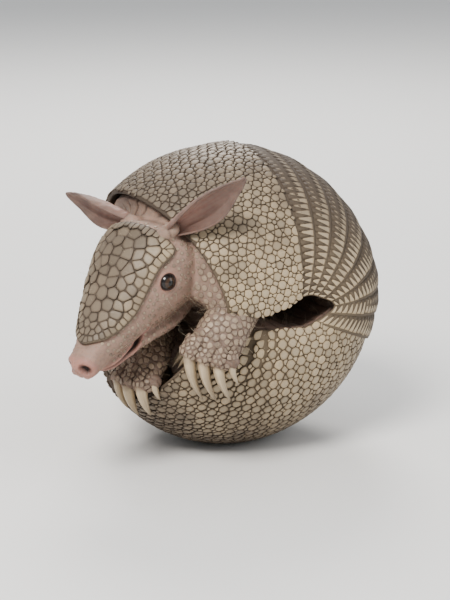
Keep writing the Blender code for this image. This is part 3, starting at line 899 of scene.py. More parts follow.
JAW_SECTIONS = np.array((
    (9, 4.5, -7.5, -10.5),
    (13, 8.5, -5.5, -13.5),
    (26, 13.5, -6, -17.5),
    (41, 18, -9, -23),
    (54, 21.5, -14, -28.5),
    (64, 22, -19, -30),
    (74, 21, -20, -31.5),
    (86, 16, -20, -29),
), float)  # the same for the lower jaw: half width, top and underside
HEAD_LENGTH = 107 * MM


def from_head(points):
    return np.asarray(points) @ HEAD_TO_WORLD[:3, :3].T + HEAD_TO_WORLD[:3, 3]


def to_head(points):
    return (np.asarray(points) - HEAD_TO_WORLD[:3, 3]) @ HEAD_TO_WORLD[:3, :3]


def head_point(behind, turn, lift=0.0):
    """The head's surface, in its own axes: +X the nose, +Y its left, +Z its crown."""
    behind, turn = matched(behind, turn)
    half, crown, under = np.moveaxis(smooth_rows(behind / MM, HEAD_SECTIONS) * MM, -1, 0)
    side = np.sign(np.sin(turn)) * np.abs(np.sin(turn)) ** (2 / SQUARENESS)
    rise = np.sign(np.cos(turn)) * np.abs(np.cos(turn)) ** (2 / SQUARENESS)
    point = np.stack([-behind, half * side, (crown + under) / 2 + (crown - under) / 2 * rise], -1)
    out = np.stack([0 * turn, np.sin(turn), np.cos(turn)], -1)
    return point + out * np.asarray(lift, float)[..., None]


def loft(rings):
    """A closed mesh through rings of points, capped at both ends."""
    rings = np.asarray(rings)
    rows, sides = rings.shape[:2]
    points = np.concatenate([rings.reshape(-1, 3), rings[0].mean(0)[None], rings[-1].mean(0)[None]])
    faces = [tuple(f) for f in grid_faces(rows, sides, closed=True)]
    for ring, middle in ((0, rows * sides), (rows - 1, rows * sides + 1)):
        for k in range(sides):
            faces.append((ring * sides + k, ring * sides + (k + 1) % sides, middle))
    return outward(mesh_of("loft", points, faces))


around = full_turn(48)
head_body = loft([from_head(head_point(HEAD_LENGTH * s, around)) for s in np.linspace(0, 1, 44) ** 1.15])
jaw_rings = []
for behind in np.linspace(JAW_SECTIONS[0, 0], JAW_SECTIONS[-1, 0], 34):
    half, top, under = smooth_rows(behind, JAW_SECTIONS)
    level = (top + under) / 2 + (top - under) / 2 * np.cos(around)
    jaw_rings.append(from_head(np.stack([-behind + 0 * around, half * np.sin(around), level], -1) * MM))
jaw_body = loft(jaw_rings)
print("head", round(HEAD_LENGTH / MM), "mm long, jaw", len(jaw_rings), "rings")

# %% The trunk and the neck
FLESH_DEPTH = 5.1 * MM  # from the shell's surface to the flesh
GROIN_RECESS = 20  # degrees by which the flesh ends inside the rear of the shell
HALF_COLUMNS, BELLY_COLUMNS = 34, 18
# how far the belly is pressed inwards, in mm, from the shoulders (0) to the groin (1)
BELLY = np.array(((0, -5), (0.14, -3), (0.3, 5), (0.5, 8), (0.7, 3), (0.85, -4), (1, -6)), float)
# the neck's girth from the shoulders (0) to the head (1), as a share of its first ring
NECK_GIRTH = np.array(((0, 0.98), (0.35, 0.84), (0.6, 0.62), (1, 0.3)), float)


def flesh_ring(share):
    """A ring of flesh under the shell, closed across the belly."""
    reach = np.linspace(-RING_REACH, RING_REACH, 2 * HALF_COLUMNS + 1)
    stations = shoulder_front(reach) * (1 - share) + (pelvis_rear(reach) + GROIN_RECESS) * share
    ring, outs = shell(stations, reach)
    ring = ring - outs * FLESH_DEPTH
    middle = (ring[0] + ring[-1]) / 2
    towards_back = unit(ring[HALF_COLUMNS] - middle)
    bulge = smooth_rows(share, BELLY)[0] * MM
    turn = np.linspace(0, math.pi, BELLY_COLUMNS + 1)[1:-1, None]
    under = middle + (ring[-1] - ring[0]) / 2 * np.cos(turn) + towards_back * bulge * np.sin(turn)
    return np.concatenate([ring, under])


trunk_rings = [flesh_ring(share) for share in np.linspace(0, 1, 66)]
trunk = loft(trunk_rings)
collar = trunk_rings[2]
neck_start, neck_end = collar.mean(0), CENTRE + np.array((-66, -19, 37)) * MM
neck = loft([
    neck_start * (1 - s) + neck_end * s + (collar - neck_start) * smooth_rows(s, NECK_GIRTH)[0]
    for s in np.linspace(0, 1, 16)
])
print("trunk", len(trunk_rings), "rings")


# %% The legs, toes and where the claws leave them
def even_path(points, count):
    """Points spread evenly along a smooth curve through the given rows."""
    keys = np.column_stack([np.arange(len(points)), points])
    fine = smooth_rows(np.linspace(0, len(points) - 1, 401), keys)
    walked = walk_along(fine[:, :3])
    return rows_at(np.linspace(0, walked[-1], count), walked, fine)


def tube(centres, wide, thick, back, sides):
    """Oval rings along a path, with their flat side turned to back."""
    centres = np.asarray(centres)
    ahead = unit(np.gradient(centres, axis=0))
    up = unit(back - ahead * (ahead @ back)[:, None])
    across = np.cross(ahead, up)
    turn = full_turn(sides)[None, :, None]
    wide, thick = np.asarray(wide)[:, None, None], np.asarray(thick)[:, None, None]
    return centres[:, None] + across[:, None] * wide * np.cos(turn) + up[:, None] * thick * np.sin(turn)


FORE_TOES = {
    "left": ((-11.8, 2, 12, 2.8), (-5.6, 6, 21, 3.9), (2.4, 8, 24, 4.0), (10.3, 9, 27, 4.0)),
    "right": ((-11.6, 2, 9, 2.7), (-5.3, 7, 16, 3.8), (2.4, 8, 17, 3.9), (9.6, 6, 16, 3.5)),
}  # for each toe: its place across the paw, its length, its claw's length and its girth, in mm
HIND_TOES = ((-8.6, 4, 7, 1.6), (-4.4, 6, 9, 1.9), (0, 7, 10, 2), (4.4, 6, 9, 1.9), (8.6, 4, 7, 1.6))
HIND_SIZE = ((13, 10), (12, 8.5), (11.5, 7), (10.5, 5))
FORE_CURL, HIND_CURL = (0.55, -0.02, -0.83), (-0.6, 0, -0.7)
TOE_SHARES, TOE_GIRTHS = (0, 0.35, 0.6, 0.72, 0.88, 1), (1.75, 1.72, 1.62, 1.8, 1.5, 0.8)  # root to tip
# a limb's path, half width and half thickness in mm, the way its back faces, its toes and claws' curl
LIMBS = {
    "foreleg_left": (
        ((-10, -42, 16), (-25, -56, 9), (-36, -64, 3), (-43.5, -67.5, -4), (-49.5, -68.5, -12)),
        ((14, 13), (13.5, 12.5), (14, 11.5), (14.8, 9), (14.2, 6.5)),
        (-0.60, -0.78, 0.1), FORE_TOES["left"], FORE_CURL),
    "foreleg_right": (
        ((-12, 34, 20), (-33, 20, -1), (-52, -6, -16), (-66.5, -21, -25), (-76.5, -26, -34)),
        ((13, 12), (12.5, 12), (13, 11), (14, 8.5), (13.5, 6)),
        (-0.80, -0.50, 0.30), FORE_TOES["right"], FORE_CURL),
    "hindleg_left": (
        ((-4, -36, -20), (-20, -36, -16), (-32, -35, -17), (-41, -33, -19)),
        HIND_SIZE, (-0.2, -0.1, 1.0), HIND_TOES, HIND_CURL),
    "hindleg_right": (
        ((-4, 37, -18), (-15, 37, -12.5), (-23, 37.5, -11.5), (-30.5, 37, -12.5)),
        HIND_SIZE, (-0.2, 0.1, 1.0), HIND_TOES, HIND_CURL),
}


def build_limb(name):
    """The lofts of a limb and its toes, and (root, ahead, curl, length, girth, back) of each claw."""
    points, sizes, back, toes, curl = LIMBS[name]
    back, curl = unit(np.array(back, float)), unit(np.array(curl, float))
    path = even_path(np.column_stack([points, sizes]), 30) * MM
    centres = path[:, :3] + CENTRE
    ahead = unit(centres[-1] - centres[-5])
    up = unit(back - ahead * (back @ ahead))
    across = np.cross(ahead, up)
    bodies = [loft(tube(centres, path[:, 3], path[:, 4], back, 40))]
    claws = []
    for offset, toe, claw, girth in toes:
        spread = unit(ahead + across * offset * 0.008)
        root = centres[-1] + across * offset * MM - ahead * 4 * MM
        tip = root + spread * (toe + 4) * MM - up * 0.5 * MM
        shares = np.linspace(0, 1, 12)
        places = root + (tip - root) * shares[:, None]
        girths = girth * MM * np.interp(shares, TOE_SHARES, TOE_GIRTHS)
        bodies.append(loft(tube(places, girths, girths * 1.05, back, 20)))
        claw_root = tip - spread * 3.2 * MM + up * 0.4 * MM
        claws.append((claw_root, spread, curl, (claw + 3) * MM, girth * MM, back))
    return bodies, claws


limb_bodies, claw_plans = [], {}
for limb_name in LIMBS:
    bodies, claws = build_limb(limb_name)
    limb_bodies += bodies
    claw_plans[limb_name] = claws
print(len(limb_bodies), "limb and toe bodies,", sum(map(len, claw_plans.values())), "claws")

# %% Where the ears stand
EAR_LENGTH, EAR_HALF_WIDTH = 54, 11.6  # mm
EARS = {
    "left": ((-95, 20, 22), (-0.66, 0.72, 0.22), (0.8, 0.5, 0.0)),
    "right": ((-99, -18, 16), (-0.14, -0.97, 0.08), (0.95, 0.27, 0.15)),
}  # in the head's axes: the root in mm, the way the ear points and the way its hollow faces


def from_ear(side, points):
    """Points of an ear's own axes: +Z runs to its tip and +Y is the way its hollow faces."""
    root, axis, hollow = (np.array(v, float) for v in EARS[side])
    axis = unit(axis)
    facing = unit(hollow - axis * (hollow @ axis))
    turn = np.stack([np.cross(facing, axis), facing, axis], 1)
    return from_head(np.asarray(points) @ turn.T + root * MM)


EAR_ROOT = ((-9, 5.0), (-5, 4.8), (-1.5, 4.5), (1.5, 4.1), (3.5, 3.4), (5, 2.2))  # level and half width
root_rings = [
    np.stack([half * np.cos(around), 3.4 + 1.1 * half * np.sin(around), level + 0 * around], -1) * MM
    for level, half in EAR_ROOT
]
ear_roots = [loft([from_ear(side, ring) for ring in root_rings]) for side in EARS]
print(len(ear_roots), "swellings under the ears")

# %% [markdown]
# ## One skin over everything
#
# A real skin has no joints, so the bodies are melted into one closed surface: a voxel remesh at
# 1.15 mm wraps all of them together, and smoothing rounds the places where they meet, as fat and
# loose skin do. What lies under the shell is never seen, so it is thinned, and the triangles are
# spent again where the eyes, the nostrils and the mouth need them.

# %% Melt the bodies together
SKIN_VOXEL = 1.15 * MM


def melt(meshes):
    carrier = on_scene("skin", merged("skin", meshes))
    remesh = carrier.modifiers.new("melt", "REMESH")
    remesh.mode, remesh.voxel_size = "VOXEL", SKIN_VOXEL
    soften_it = carrier.modifiers.new("soften", "SMOOTH")
    soften_it.factor, soften_it.iterations = 0.5, 6
    return evaluated_mesh(carrier)


skin_mesh = melt([trunk, neck, head_body, jaw_body, *ear_roots, *limb_bodies])
print("melted skin:", triangles(skin_mesh), "triangles")

# %% Thin what the shell hides
SKIN_TRIANGLES = 108000  # before the face is refined
HIDING_REACH = 14 * MM  # how far the shell may be from the skin that it hides
VIEW_TILT = 0.9  # how much the slanted looks outwards lean


def mesh_tree(meshes):
    points, faces = [], []
    for mesh in meshes:
        first = len(points)
        points += [v.co.copy() for v in mesh.vertices]
        faces += [tuple(i + first for i in p.vertices) for p in mesh.polygons]
    return BVHTree.FromPolygons(points, faces)


def hidden_under(mesh, cover):
    """1 for each vertex whose outward view is blocked on every side by the cover, else 0."""
    blocked = np.zeros(len(mesh.vertices))
    for vertex in mesh.vertices:
        normal = vertex.normal
        side = normal.orthogonal()
        leans = (side, -side, normal.cross(side), -normal.cross(side))
        ways = [normal] + [normal + lean * VIEW_TILT for lean in leans]
        if all(cover.ray_cast(vertex.co, way, HIDING_REACH)[0] is not None for way in ways):
            blocked[vertex.index] = 1
    return blocked


def cover_tree():
    """The plates of the shell as one plain surface, to test what lies under them."""
    across = np.linspace(-0.97, 0.97, 41)
    shields = np.linspace(0.02, 0.98, 24)[:, None]
    bands = np.linspace(BANDS_FRONT + 2, BANDS_REAR - 2, 40)[:, None]
    points, faces = [], []
    for grid in (
        patches["shoulder_shield"].at(shields, across)[0],
        patches["pelvic_shield"].at(shields, across)[0],
        shell(bands, across * RING_REACH)[0],
    ):
        faces += [tuple(f) for f in grid_faces(*grid.shape[:2], len(points))]
        points += [Vector(p) for p in grid.reshape(-1, 3)]
    return BVHTree.FromPolygons(points, faces)


def thinned(mesh, weights):
    """The mesh with fewer triangles, most of them gone from where the weights are 1."""
    carrier = on_scene("thinning", mesh)
    group = carrier.vertex_groups.new(name="hidden")
    for value in (0.0, 1.0):
        group.add(np.nonzero(weights == value)[0].tolist(), value, "REPLACE")
    thin = carrier.modifiers.new("thin", "DECIMATE")
    thin.vertex_group, thin.vertex_group_factor = "hidden", 10.0
    thin.ratio = SKIN_TRIANGLES / triangles(mesh)
    made = evaluated_mesh(carrier)
    co = arrays_of(made)[0]
    before = mesh_tree([mesh])
    for i, point in enumerate(co):
        nearest, _, _, away = before.find_nearest(Vector(point))
        if away > 0.6 * MM:
            co[i] = nearest
    return moved(made, co)


cover = cover_tree()
skin_hidden = hidden_under(skin_mesh, cover)
print("hidden share of the skin:", round(float(skin_hidden.mean()), 2))
skin_mesh = thinned(skin_mesh, skin_hidden)
print("thinned skin:", triangles(skin_mesh), "triangles")

# %% [markdown]
# ## Modelling the face and the folds
#
# With the skin closed, it is modelled as a sculptor works clay: some places are pressed in along
# their normals and others raised. Each feature is a short rule in the head's own axes, so that left
# and right match. The lids are laid over the eyeball itself, a shade wider than it, because real
# lids rest on the eye.

# %% Where the features lie
EYE_RADIUS = (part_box("eye_left")[1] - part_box("eye_left")[0]).length / 2 / math.sqrt(3)
eyes = {side: np.array(sum(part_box("eye_" + side), Vector())) / 2 for side in ("left", "right")}
eye_in_head = {side: to_head(centre) / MM for side, centre in eyes.items()}
# the line of the mouth: mm behind the nose tip, height, and how far it is open
MOUTH = np.array((
    (3, -7.6, 0.0),
    (9, -9.4, 0.3),
    (15, -10.8, 0.9),
    (22, -11.5, 1.1),
    (30, -11.2, 0.8),
    (37, -9.8, 0.4),
    (42, -7.9, 0.1),
    (46, -5.2, 0.0),
), float)
NOSTRIL = np.array((-1.8, 5.8, 3.2))
NOSTRIL_ALONG = unit(np.array((0.0, 0.67, -0.74)))
NOSE_CREASES = ((7.2, 0.45), (9.6, 0.28), (12.2, 0.18))  # mm behind the nose tip, and depth
CHEEK_CREASE = np.array(((-45.9, 19.1, -18.8), (-37.4, 9.2, -27.2)))


def bump(distance, width):
    return np.exp(-((distance / width) ** 2))


def distance_to(tree, points, limit):
    found = [tree.find_nearest(Vector(p), limit)[3] for p in points]
    return np.array([limit if d is None else d for d in found])


def mouth_offset(place):
    """How far a place in the head's axes is from the open mouth, and a mask of where the mouth is."""
    height, opening = np.moveaxis(smooth_rows(-place[:, 0], MOUTH), -1, 0)
    above = place[:, 2] - height
    away = np.maximum(np.maximum(above, -opening - above), 0)
    return away, smoothstep(3, 8, -place[:, 0]) * (1 - smoothstep(42.5, 46, -place[:, 0]))


def near_features(points):
    """Which points are close to an eye, a nostril or the mouth."""
    place = to_head(points) / MM
    close = np.zeros(len(place), bool)
    for centre in eye_in_head.values():
        close |= norm(place - centre) < 11
    for sign in (1, -1):
        close |= norm(place - NOSTRIL * (1, sign, 1)) < 7.5
    x, y, _ = place.T
    return close | ((mouth_offset(place)[0] < 3.4) & (x < -1) & (x > -49) & (np.abs(y) < 24))


def refined(mesh, near):
    """Splits the edges of the chosen part of a mesh twice, and evens the new points out."""
    bm = bmesh.new()
    bm.from_mesh(mesh)

    def chosen():
        return [v for v, close in zip(bm.verts, near(np.array([v.co for v in bm.verts]))) if close]

    for _ in range(2):
        picked = set(chosen())
        edges = [e for e in bm.edges if e.verts[0] in picked and e.verts[1] in picked]
        bmesh.ops.subdivide_edges(bm, edges=edges, cuts=1, use_grid_fill=True)
        bmesh.ops.triangulate(bm, faces=[f for f in bm.faces if len(f.verts) > 4])
        verts = chosen()
        for _ in range(2):
            bmesh.ops.smooth_vert(
                bm, verts=verts, factor=0.5, use_axis_x=True, use_axis_y=True, use_axis_z=True)
    bm.to_mesh(mesh)
    bm.free()
    mesh.shade_smooth()
    return mesh


skin_mesh = refined(skin_mesh, near_features)
print("refined skin:", triangles(skin_mesh), "triangles, eye radius", round(EYE_RADIUS / MM, 2))

# %% Press in and raise
def chance_field(points, scale, seed):
    """Smooth noise from -1 to 1 at each point."""
    shift = Vector((seed * 7.3, seed * 3.1, seed * 5.7))
    return np.array([noise.noise(Vector(p) * scale + shift) for p in points])


def sculpt_head(co, normals, on_head):
    """Mouth, nostrils and creases. Gives the new points, the painted shade in the mouth and the nostrils, and
    how pink each is.
    """
    place = to_head(co) / MM
    behind, side = -place[:, 0], np.abs(place[:, 1])
    push = np.zeros(len(co))
    away, along = mouth_offset(place)
    mouth = along * smoothstep(1.5, 4, side + 0.25 * behind) * on_head
    push -= 2.4 * bump(away, 0.85) * mouth
    push += 0.55 * bump(away - 2.0, 1.1) * mouth
    # painted shade in the slit of the mouth; the lips beside it are pink
    dark, pink = bump(away, 0.85) * mouth, bump(away - 1.4, 1.2) * mouth
    for sign in (1, -1):
        offset, way = place - NOSTRIL * (1, sign, 1), NOSTRIL_ALONG * (1, sign, 1)
        long = offset @ way
        rest = norm(offset - long[:, None] * way)
        ring = np.sqrt((long / 4.5) ** 2 + (rest / 3.2) ** 2)
        push -= 3.0 * (1 - smoothstep(0.6, 1.05, ring)) * on_head
        push += 0.6 * bump(ring - 1.45, 0.4) * on_head
        # painted shade inside the nostrils
        dark = np.maximum(dark, (1 - smoothstep(0.6, 1.1, ring)) * on_head)
        pink = np.maximum(pink, (1 - smoothstep(1.2, 2.6, ring)) * on_head)
    front = 1 - smoothstep(1.0, 6.0, behind)
    push -= 0.5 * bump(side, 0.7) * front * on_head
    top = smoothstep(-3, 3, place[:, 2]) * on_head
    for where, depth in NOSE_CREASES:
        push -= depth * bump(behind - where - 0.03 * side**2, 0.65) * top
    for sign in (1, -1):
        a, b = CHEEK_CREASE * (1, sign, 1)
        t = np.clip(((place - a) @ (b - a)) / ((b - a) @ (b - a)), 0, 1)
        d = norm(place - (a + t[:, None] * (b - a)))
        push -= 0.8 * bump(d, 1.2) * np.sin(np.pi * np.clip(t, 0.05, 0.95)) * on_head
    return co + normals * push[:, None] * MM, dark, np.maximum(pink, front * 0.8 * on_head)


def sculpt_lids(co, on_head):
    """Lays the lids over the eyeballs. Gives the new points, the painted shade along the lid edge, and the
    lids.
    """
    place = to_head(co) / MM
    radius = EYE_RADIUS / MM
    dark, lid = np.zeros(len(co)), np.zeros(len(co))
    for side, centre in eye_in_head.items():
        sign = 1 if side == "left" else -1
        ahead = unit(np.array((1.0, -0.16 * sign, -0.12)))
        out = np.array((0.0, 0.97 * sign, 0.24))
        out = unit(out - ahead * (out @ ahead))
        up = np.cross(out, ahead) * sign * -1
        up = up if up[2] > 0 else -up
        offset = place - centre
        u, v, w = offset @ ahead, offset @ up, offset @ out
        ring = (np.abs(u / 5.0) ** 1.8 + np.abs(v / np.where(v > 0, 3.7, 3.2)) ** 1.8) ** (1 / 1.8)
        span = norm(offset)

        def within(reach):
            return (w > 0) * (span < reach) * on_head

        levels = radius + np.array((-1.6, -1.3, 0.85, 1.0))
        wanted = np.interp(ring, (0, 0.90, 1.02, 1.5), levels)[:, None]
        weight = (1 - smoothstep(1.35, 2.0, ring)) * within(11)
        place = place + (centre + offset / span[:, None] * wanted - place) * weight[:, None]
        place -= out * (0.35 * bump(ring - 1.95, 0.22) * within(13))[:, None]
        # painted shade along the edge of the lid, where it meets the eye
        dark = np.maximum(dark, bump(ring - 1.0, 0.13) * within(9))
        lid = np.maximum(lid, (1 - smoothstep(1.1, 2.1, ring)) * within(12))
    return from_head(place * MM), dark, lid


co, normals = arrays_of(skin_mesh)
on_head = 1 - smoothstep(1.5, 3.0, distance_to(mesh_tree([head_body, jaw_body]), co, 4 * MM) / MM)
co, dark, pink = sculpt_head(co, normals, on_head)
co, lid_shade, lid = sculpt_lids(co, on_head)
dark = np.maximum(dark, lid_shade)
print("mouth, nostrils and lids are modelled")

# %% Folds of the neck and belly, and loose skin on the legs
NECK_FOLD, BELLY_FOLD, WRIST_FOLD = 7.5, 8, 5.5  # mm from one fold to the next


def fold(phase, sharp=0.72):
    """Thin valleys that repeat once for each unit of phase."""
    near = np.abs(phase - np.round(phase)) * 2
    return smoothstep(sharp, 1.0, 1 - near)


neck_along = (co - neck_start) @ unit(neck_end - neck_start) / MM
on_neck = (1 - smoothstep(1.5, 3.5, distance_to(mesh_tree([neck]), co, 5 * MM) / MM)) * (1 - on_head)
on_limb = 1 - smoothstep(1.2, 3.0, distance_to(mesh_tree(limb_bodies), co, 4 * MM) / MM)
on_limb = on_limb * (1 - on_head)
belly = np.clip(1 - on_neck - on_limb - on_head, 0, 1)
wander = chance_field(co, 38, 1)
fine_wander = chance_field(co, 130, 2)
neck_phase = neck_along / NECK_FOLD + 0.35 * wander
push = -0.85 * fold(neck_phase) * on_neck
push += 0.35 * wander * on_neck
push += -0.55 * fold((co[:, 0] + 0.4 * co[:, 2]) / (BELLY_FOLD * MM) + 0.3 * wander) * belly
push += (0.16 * fine_wander + 0.2 * wander) * on_limb
for points, *_ in LIMBS.values():
    wrist, before = (CENTRE + np.array(points[i]) * MM for i in (-1, -2))
    along = (co - wrist) @ unit(wrist - before) / MM
    close = norm(co - wrist) < 24 * MM
    push += -0.5 * fold(along / WRIST_FOLD + 0.25 * wander, 0.66) * on_limb * close * (along < 4)
for plans in claw_plans.values():
    roots = np.array([plan[0] for plan in plans])
    ways = np.array([plan[1] for plan in plans])
    offset = co[:, None] - roots
    along = np.clip((offset * ways).sum(-1), -13 * MM, 2 * MM)
    away = np.sort(norm(offset - ways * along[..., None]), axis=1) / MM
    cleft = bump(away[:, 1] - away[:, 0], 1.3) * (1 - smoothstep(8, 12, away[:, 0]))
    push -= 0.9 * cleft * smoothstep(-13, -5, along.max(1) / MM) * on_limb
normals = arrays_of(skin_mesh)[1]
co = co + normals * push[:, None] * MM
for side in EARS:
    spine = from_ear(side, np.array([(0, 5.5, level) for level in (9, 52)]) * MM)
    along = np.clip((co - spine[0]) @ unit(spine[1] - spine[0]), 0, 43 * MM)
    away = co - spine[0] - along[:, None] * unit(spine[1] - spine[0])
    room = (9.5 * smoothstep(0, 6 * MM, along) + 2) * MM
    gap = norm(away)
    push_out = np.clip(room - gap, 0, None) * (along > 0) * (1 - on_head)
    co = co + away / np.maximum(gap, 1e-9)[:, None] * push_out[:, None]
moved(skin_mesh, co)
# the depth of each fold, which also paints shade into the creases
crease, pink = np.clip(-push, 0, 1), np.maximum(pink, 0.6 * lid)
painted = {"dark": dark, "pink": pink, "crease": crease, "face": on_head, "limb": on_limb}
for label, values in painted.items():
    write_values(skin_mesh, label, values)
print("folds are modelled:", round(float(crease.max()), 2), "mm deep")

# %% [markdown]
# ## The skin's colour
#
# Bare armadillo skin is a dull pink-grey leather: pinker on the nose, the lips and the lids, browner
# on the crown side of the neck and on the legs. Painted shade darkens the creases of its folds, the mouth,
# the nostrils and the edges of the lids.
# It is a little translucent, so some light scatters in it, and a fine grain roughens its shine.

# %% The skin
def skin_finish():
    made, tree, shader = finish("skin", IOR=1.42, Subsurface_Weight=0.14, Subsurface_Scale=0.0025)
    shader.inputs["Subsurface Radius"].default_value = (1.0, 0.4, 0.22)
    labels = ("dark", "pink", "crease", "face", "limb")
    dark, pink, crease, face, limb = (attribute(tree, label) for label in labels)
    cloud, blotch, fine = noise_at(tree, 26, 4), noise_at(tree, 150, 4), noise_at(tree, 700, 3)
    body = coated(
        tree, (0.215, 0.150, 0.118),
        ((cloud - 0.1).ramp(0.25, 0.6), (0.335, 0.240, 0.188)),
        (face * 0.75, (0.355, 0.240, 0.190)),
        (limb * 0.6, (0.205, 0.150, 0.118)),
        (blotch.ramp(0.42, 0.72) * 0.4, (0.150, 0.105, 0.082)),
        (pink.math("MINIMUM", 1.0) * 0.75, (0.41, 0.215, 0.175)),
        # painted shade in the creases of the folds, deepest where they are deepest
        ((crease * 1.3).math("MINIMUM", 1.0) * 0.7, (0.085, 0.056, 0.043)),
        (fine.ramp(0.5, 0.8) * 0.25, (0.12, 0.08, 0.06)),
        # painted shade: nearly black in the mouth, the nostrils and along the lid edges
        (dark.math("MINIMUM", 1.0) * 0.96, (0.018, 0.010, 0.008)),
    )
    feed(tree, shader, Base_Color=body, Roughness=0.66 - pink * 0.14 + (fine - 0.5) * 0.3,
         bump=pebbles_at(tree, 620.0) * -0.9 + fine * 0.5 + blotch * 0.8, distance=0.3 * MM)
    return made


FLESH = ["chest", "loin", "pelvis", "neck", "head", "lower_jaw", *LIMBS]
leather_skin = skin_finish()
piece("skin", skin_mesh, [leather_skin], FLESH)

# %% [markdown]
# ## The head shield
#
# The top of the head carries its own shield, from above the nose to between the ears, and its edge
# runs down beside each eye. Its scutes are irregular, larger on the crown and small on the snout,
# and the two sides nearly mirror each other. A row of little scutes follows the edge and draws a
# thin line beside it.

# %% The shield as a surface
SHIELD_EDGE = np.array((
    (14, 8),
    (17, 28),
    (20, 44),
    (24, 55),
    (31, 64),
    (41, 67),
    (50, 62),
    (60, 56.5),
    (72, 53),
    (84, 55),
    (88.5, 54),
), float)  # mm behind the nose tip, then how far down the side the shield reaches, in degrees
SCUTE_LIFT, PLATE_LIFT = 2.05 * MM, 2.0 * MM  # above the head
RIM_SPACING, RIM_INSET, RIM_RADIUS = 3.9 * MM, 1.75 * MM, 1.9 * MM  # of the row of little scutes


def head_shield_at(along, across, lift):
    """A place on the shield, from its front (0) to its rear (1) and across it from -1 to 1."""
    along, across = matched(along, across)
    front, rear = SHIELD_EDGE[0, 0], SHIELD_EDGE[-1, 0]
    behind = front + (rear - front) * np.sign(along) * np.abs(along) ** 1.25
    edge = np.radians(smooth_rows(behind, SHIELD_EDGE)[..., 0])
    behind = behind - 5 * np.clip(along, 0, 1) ** 3 * across**2

    def surface(b, turn):
        return from_head(head_point(b * MM, turn, lift))

    point = surface(behind, edge * across)
    ahead = surface(behind - 0.4, edge * across) - surface(behind + 0.4, edge * across)
    sideways = surface(behind, edge * across + 0.02) - surface(behind, edge * across - 0.02)
    return point, unit(np.cross(ahead, sideways))


def head_shield_scutes(seed):
    """Centres on the shield, their outward directions, radii and whether each is kept."""
    chance = np.random.default_rng(seed)
    s = np.linspace(0, 1, 200)
    loop = np.concatenate([
        np.stack([0 * s, 2 * s - 1], -1), np.stack([s, 1 + 0 * s], -1)[1:],
        np.stack([1 + 0 * s, 1 - 2 * s], -1)[1:], np.stack([1 - s, 0 * s - 1], -1)[1:-1],
    ])
    line, outs = head_shield_at(loop[:, 0], loop[:, 1], SCUTE_LIFT)
    walked = walk_along(line)
    even = np.linspace(0, walked[-1], round(walked[-1] / RIM_SPACING), endpoint=False)
    line, outs = rows_at(even, walked, line), unit(rows_at(even, walked, outs))
    inward = unit(np.cross(outs, np.roll(line, -1, 0) - np.roll(line, 1, 0)))
    if ((line.mean(0) - line) * inward).sum() < 0:
        inward = -inward
    rim, ghosts = line + inward * RIM_INSET, line - inward * RIM_INSET
    rim -= outs * 0.1 * MM
    places, ways, sizes = list(rim), list(outs), [RIM_RADIUS] * len(rim)
    tries = chance.uniform((0.0, -0.02), (1, 1), (7000, 2))
    lefts, left_outs = head_shield_at(tries[:, 0], tries[:, 1], SCUTE_LIFT)
    rights, right_outs = head_shield_at(tries[:, 0], -tries[:, 1], SCUTE_LIFT)
    spacings = (3.4 + 2.3 * smoothstep(0.08, 0.5, tries[:, 0]) - 0.8 * np.abs(tries[:, 1])) * MM
    for k, spacing in enumerate(spacings):
        gap = norm(np.array(places) - lefts[k]) / (spacing / 2 + np.array(sizes))
        lone = abs(tries[k, 1]) <= 0.02
        if gap.min() < 1 or (not lone and np.linalg.norm(lefts[k] - rights[k]) < spacing):
            continue
        for point, way in ((lefts[k], left_outs[k]), (rights[k], right_outs[k]))[:1 if lone else 2]:
            places.append(point + chance.normal(0, 0.2 * MM, 3))
            ways.append(way)
            sizes.append(spacing / 2)
    kept = np.arange(len(places) + len(ghosts)) < len(places)
    return (np.concatenate([places, ghosts]), np.concatenate([ways, outs]),
            np.concatenate([sizes, np.full(len(ghosts), RIM_RADIUS)]), kept)


places, outs, sizes, kept = head_shield_scutes(7)
head_middle = from_head((-60 * MM, 0, -10 * MM))
outs = np.where(((places - head_middle) * outs).sum(1, keepdims=True) < 0, -outs, outs)
tone = np.clip(np.random.default_rng(8).normal(0.55, 0.18, len(places)), 0, 1)
flank = np.clip(np.abs(to_head(places)[:, 1]) / (34 * MM), 0, 1) * 0.75
cells = cells_mesh("head_cells", mosaic(places, outs, sizes, kept, 5.2 * MM, corner=0.2), paint(flank, tone))
raised = grown("head_scutes", cells, scutes, Groove=0.3 * MM, Height=0.42 * MM, Crown=0.66)
along, across = crossed(np.linspace(0, 1, 60), np.linspace(-1, 1, 61))
outer, outs = head_shield_at(along, across, PLATE_LIFT)
if (outer[30, 30] - head_middle) @ outs[30, 30] < 0:
    outs = -outs
base = rounded_plate("head_shield", outer, outs, 1.5 * MM, paint(np.abs(across) * 0.7, 0.5))
print("head shield:", len(cells.polygons), "scutes")
shell_piece("head_shield", base, raised, ["head_shield"])

# %% [markdown]
# ## The tail
#
# The tail is sheathed in rings of scutes that fit into each other like the joints of a telescope,
# and near its tip the rings break up into small scutes. Each ring here swells a little towards its
# rear edge and then steps down, and carries a row of narrow scutes in front of a row of large ones.

# %% Rings and scutes of the tail
TAIL = np.array((
    (-44, 2, -50, 12),
    (-58, 8, -43, 11.8),
    (-62, 22, -33, 11.4),
    (-58, 38, -21, 11),
    (-50, 54, -7, 10.4),
    (-37, 69.5, -3, 9.7),
    (-15, 81.5, -13, 9),
    (10, 86, -31, 8),
    (32, 84, -52, 6.8),
    (53, 74, -73, 5.4),
    (69, 59, -84.5, 4.2),
    (80, 41, -86.7, 2.4),
), float)  # mm from the centre of the curl, and the tail's radius
TAIL_RINGS = 15
tail_path = even_path(TAIL, 241) * MM
tail_centres, tail_girths = tail_path[:, :3] + CENTRE, tail_path[:, 3]
tail_ahead = unit(np.gradient(tail_centres, axis=0))
tail_up = unit(np.array((0.0, 0.0, 1.0)) - tail_ahead * tail_ahead[:, 2:3])
tail_side = np.cross(tail_ahead, tail_up)
tail_counts = np.arange(len(tail_path))


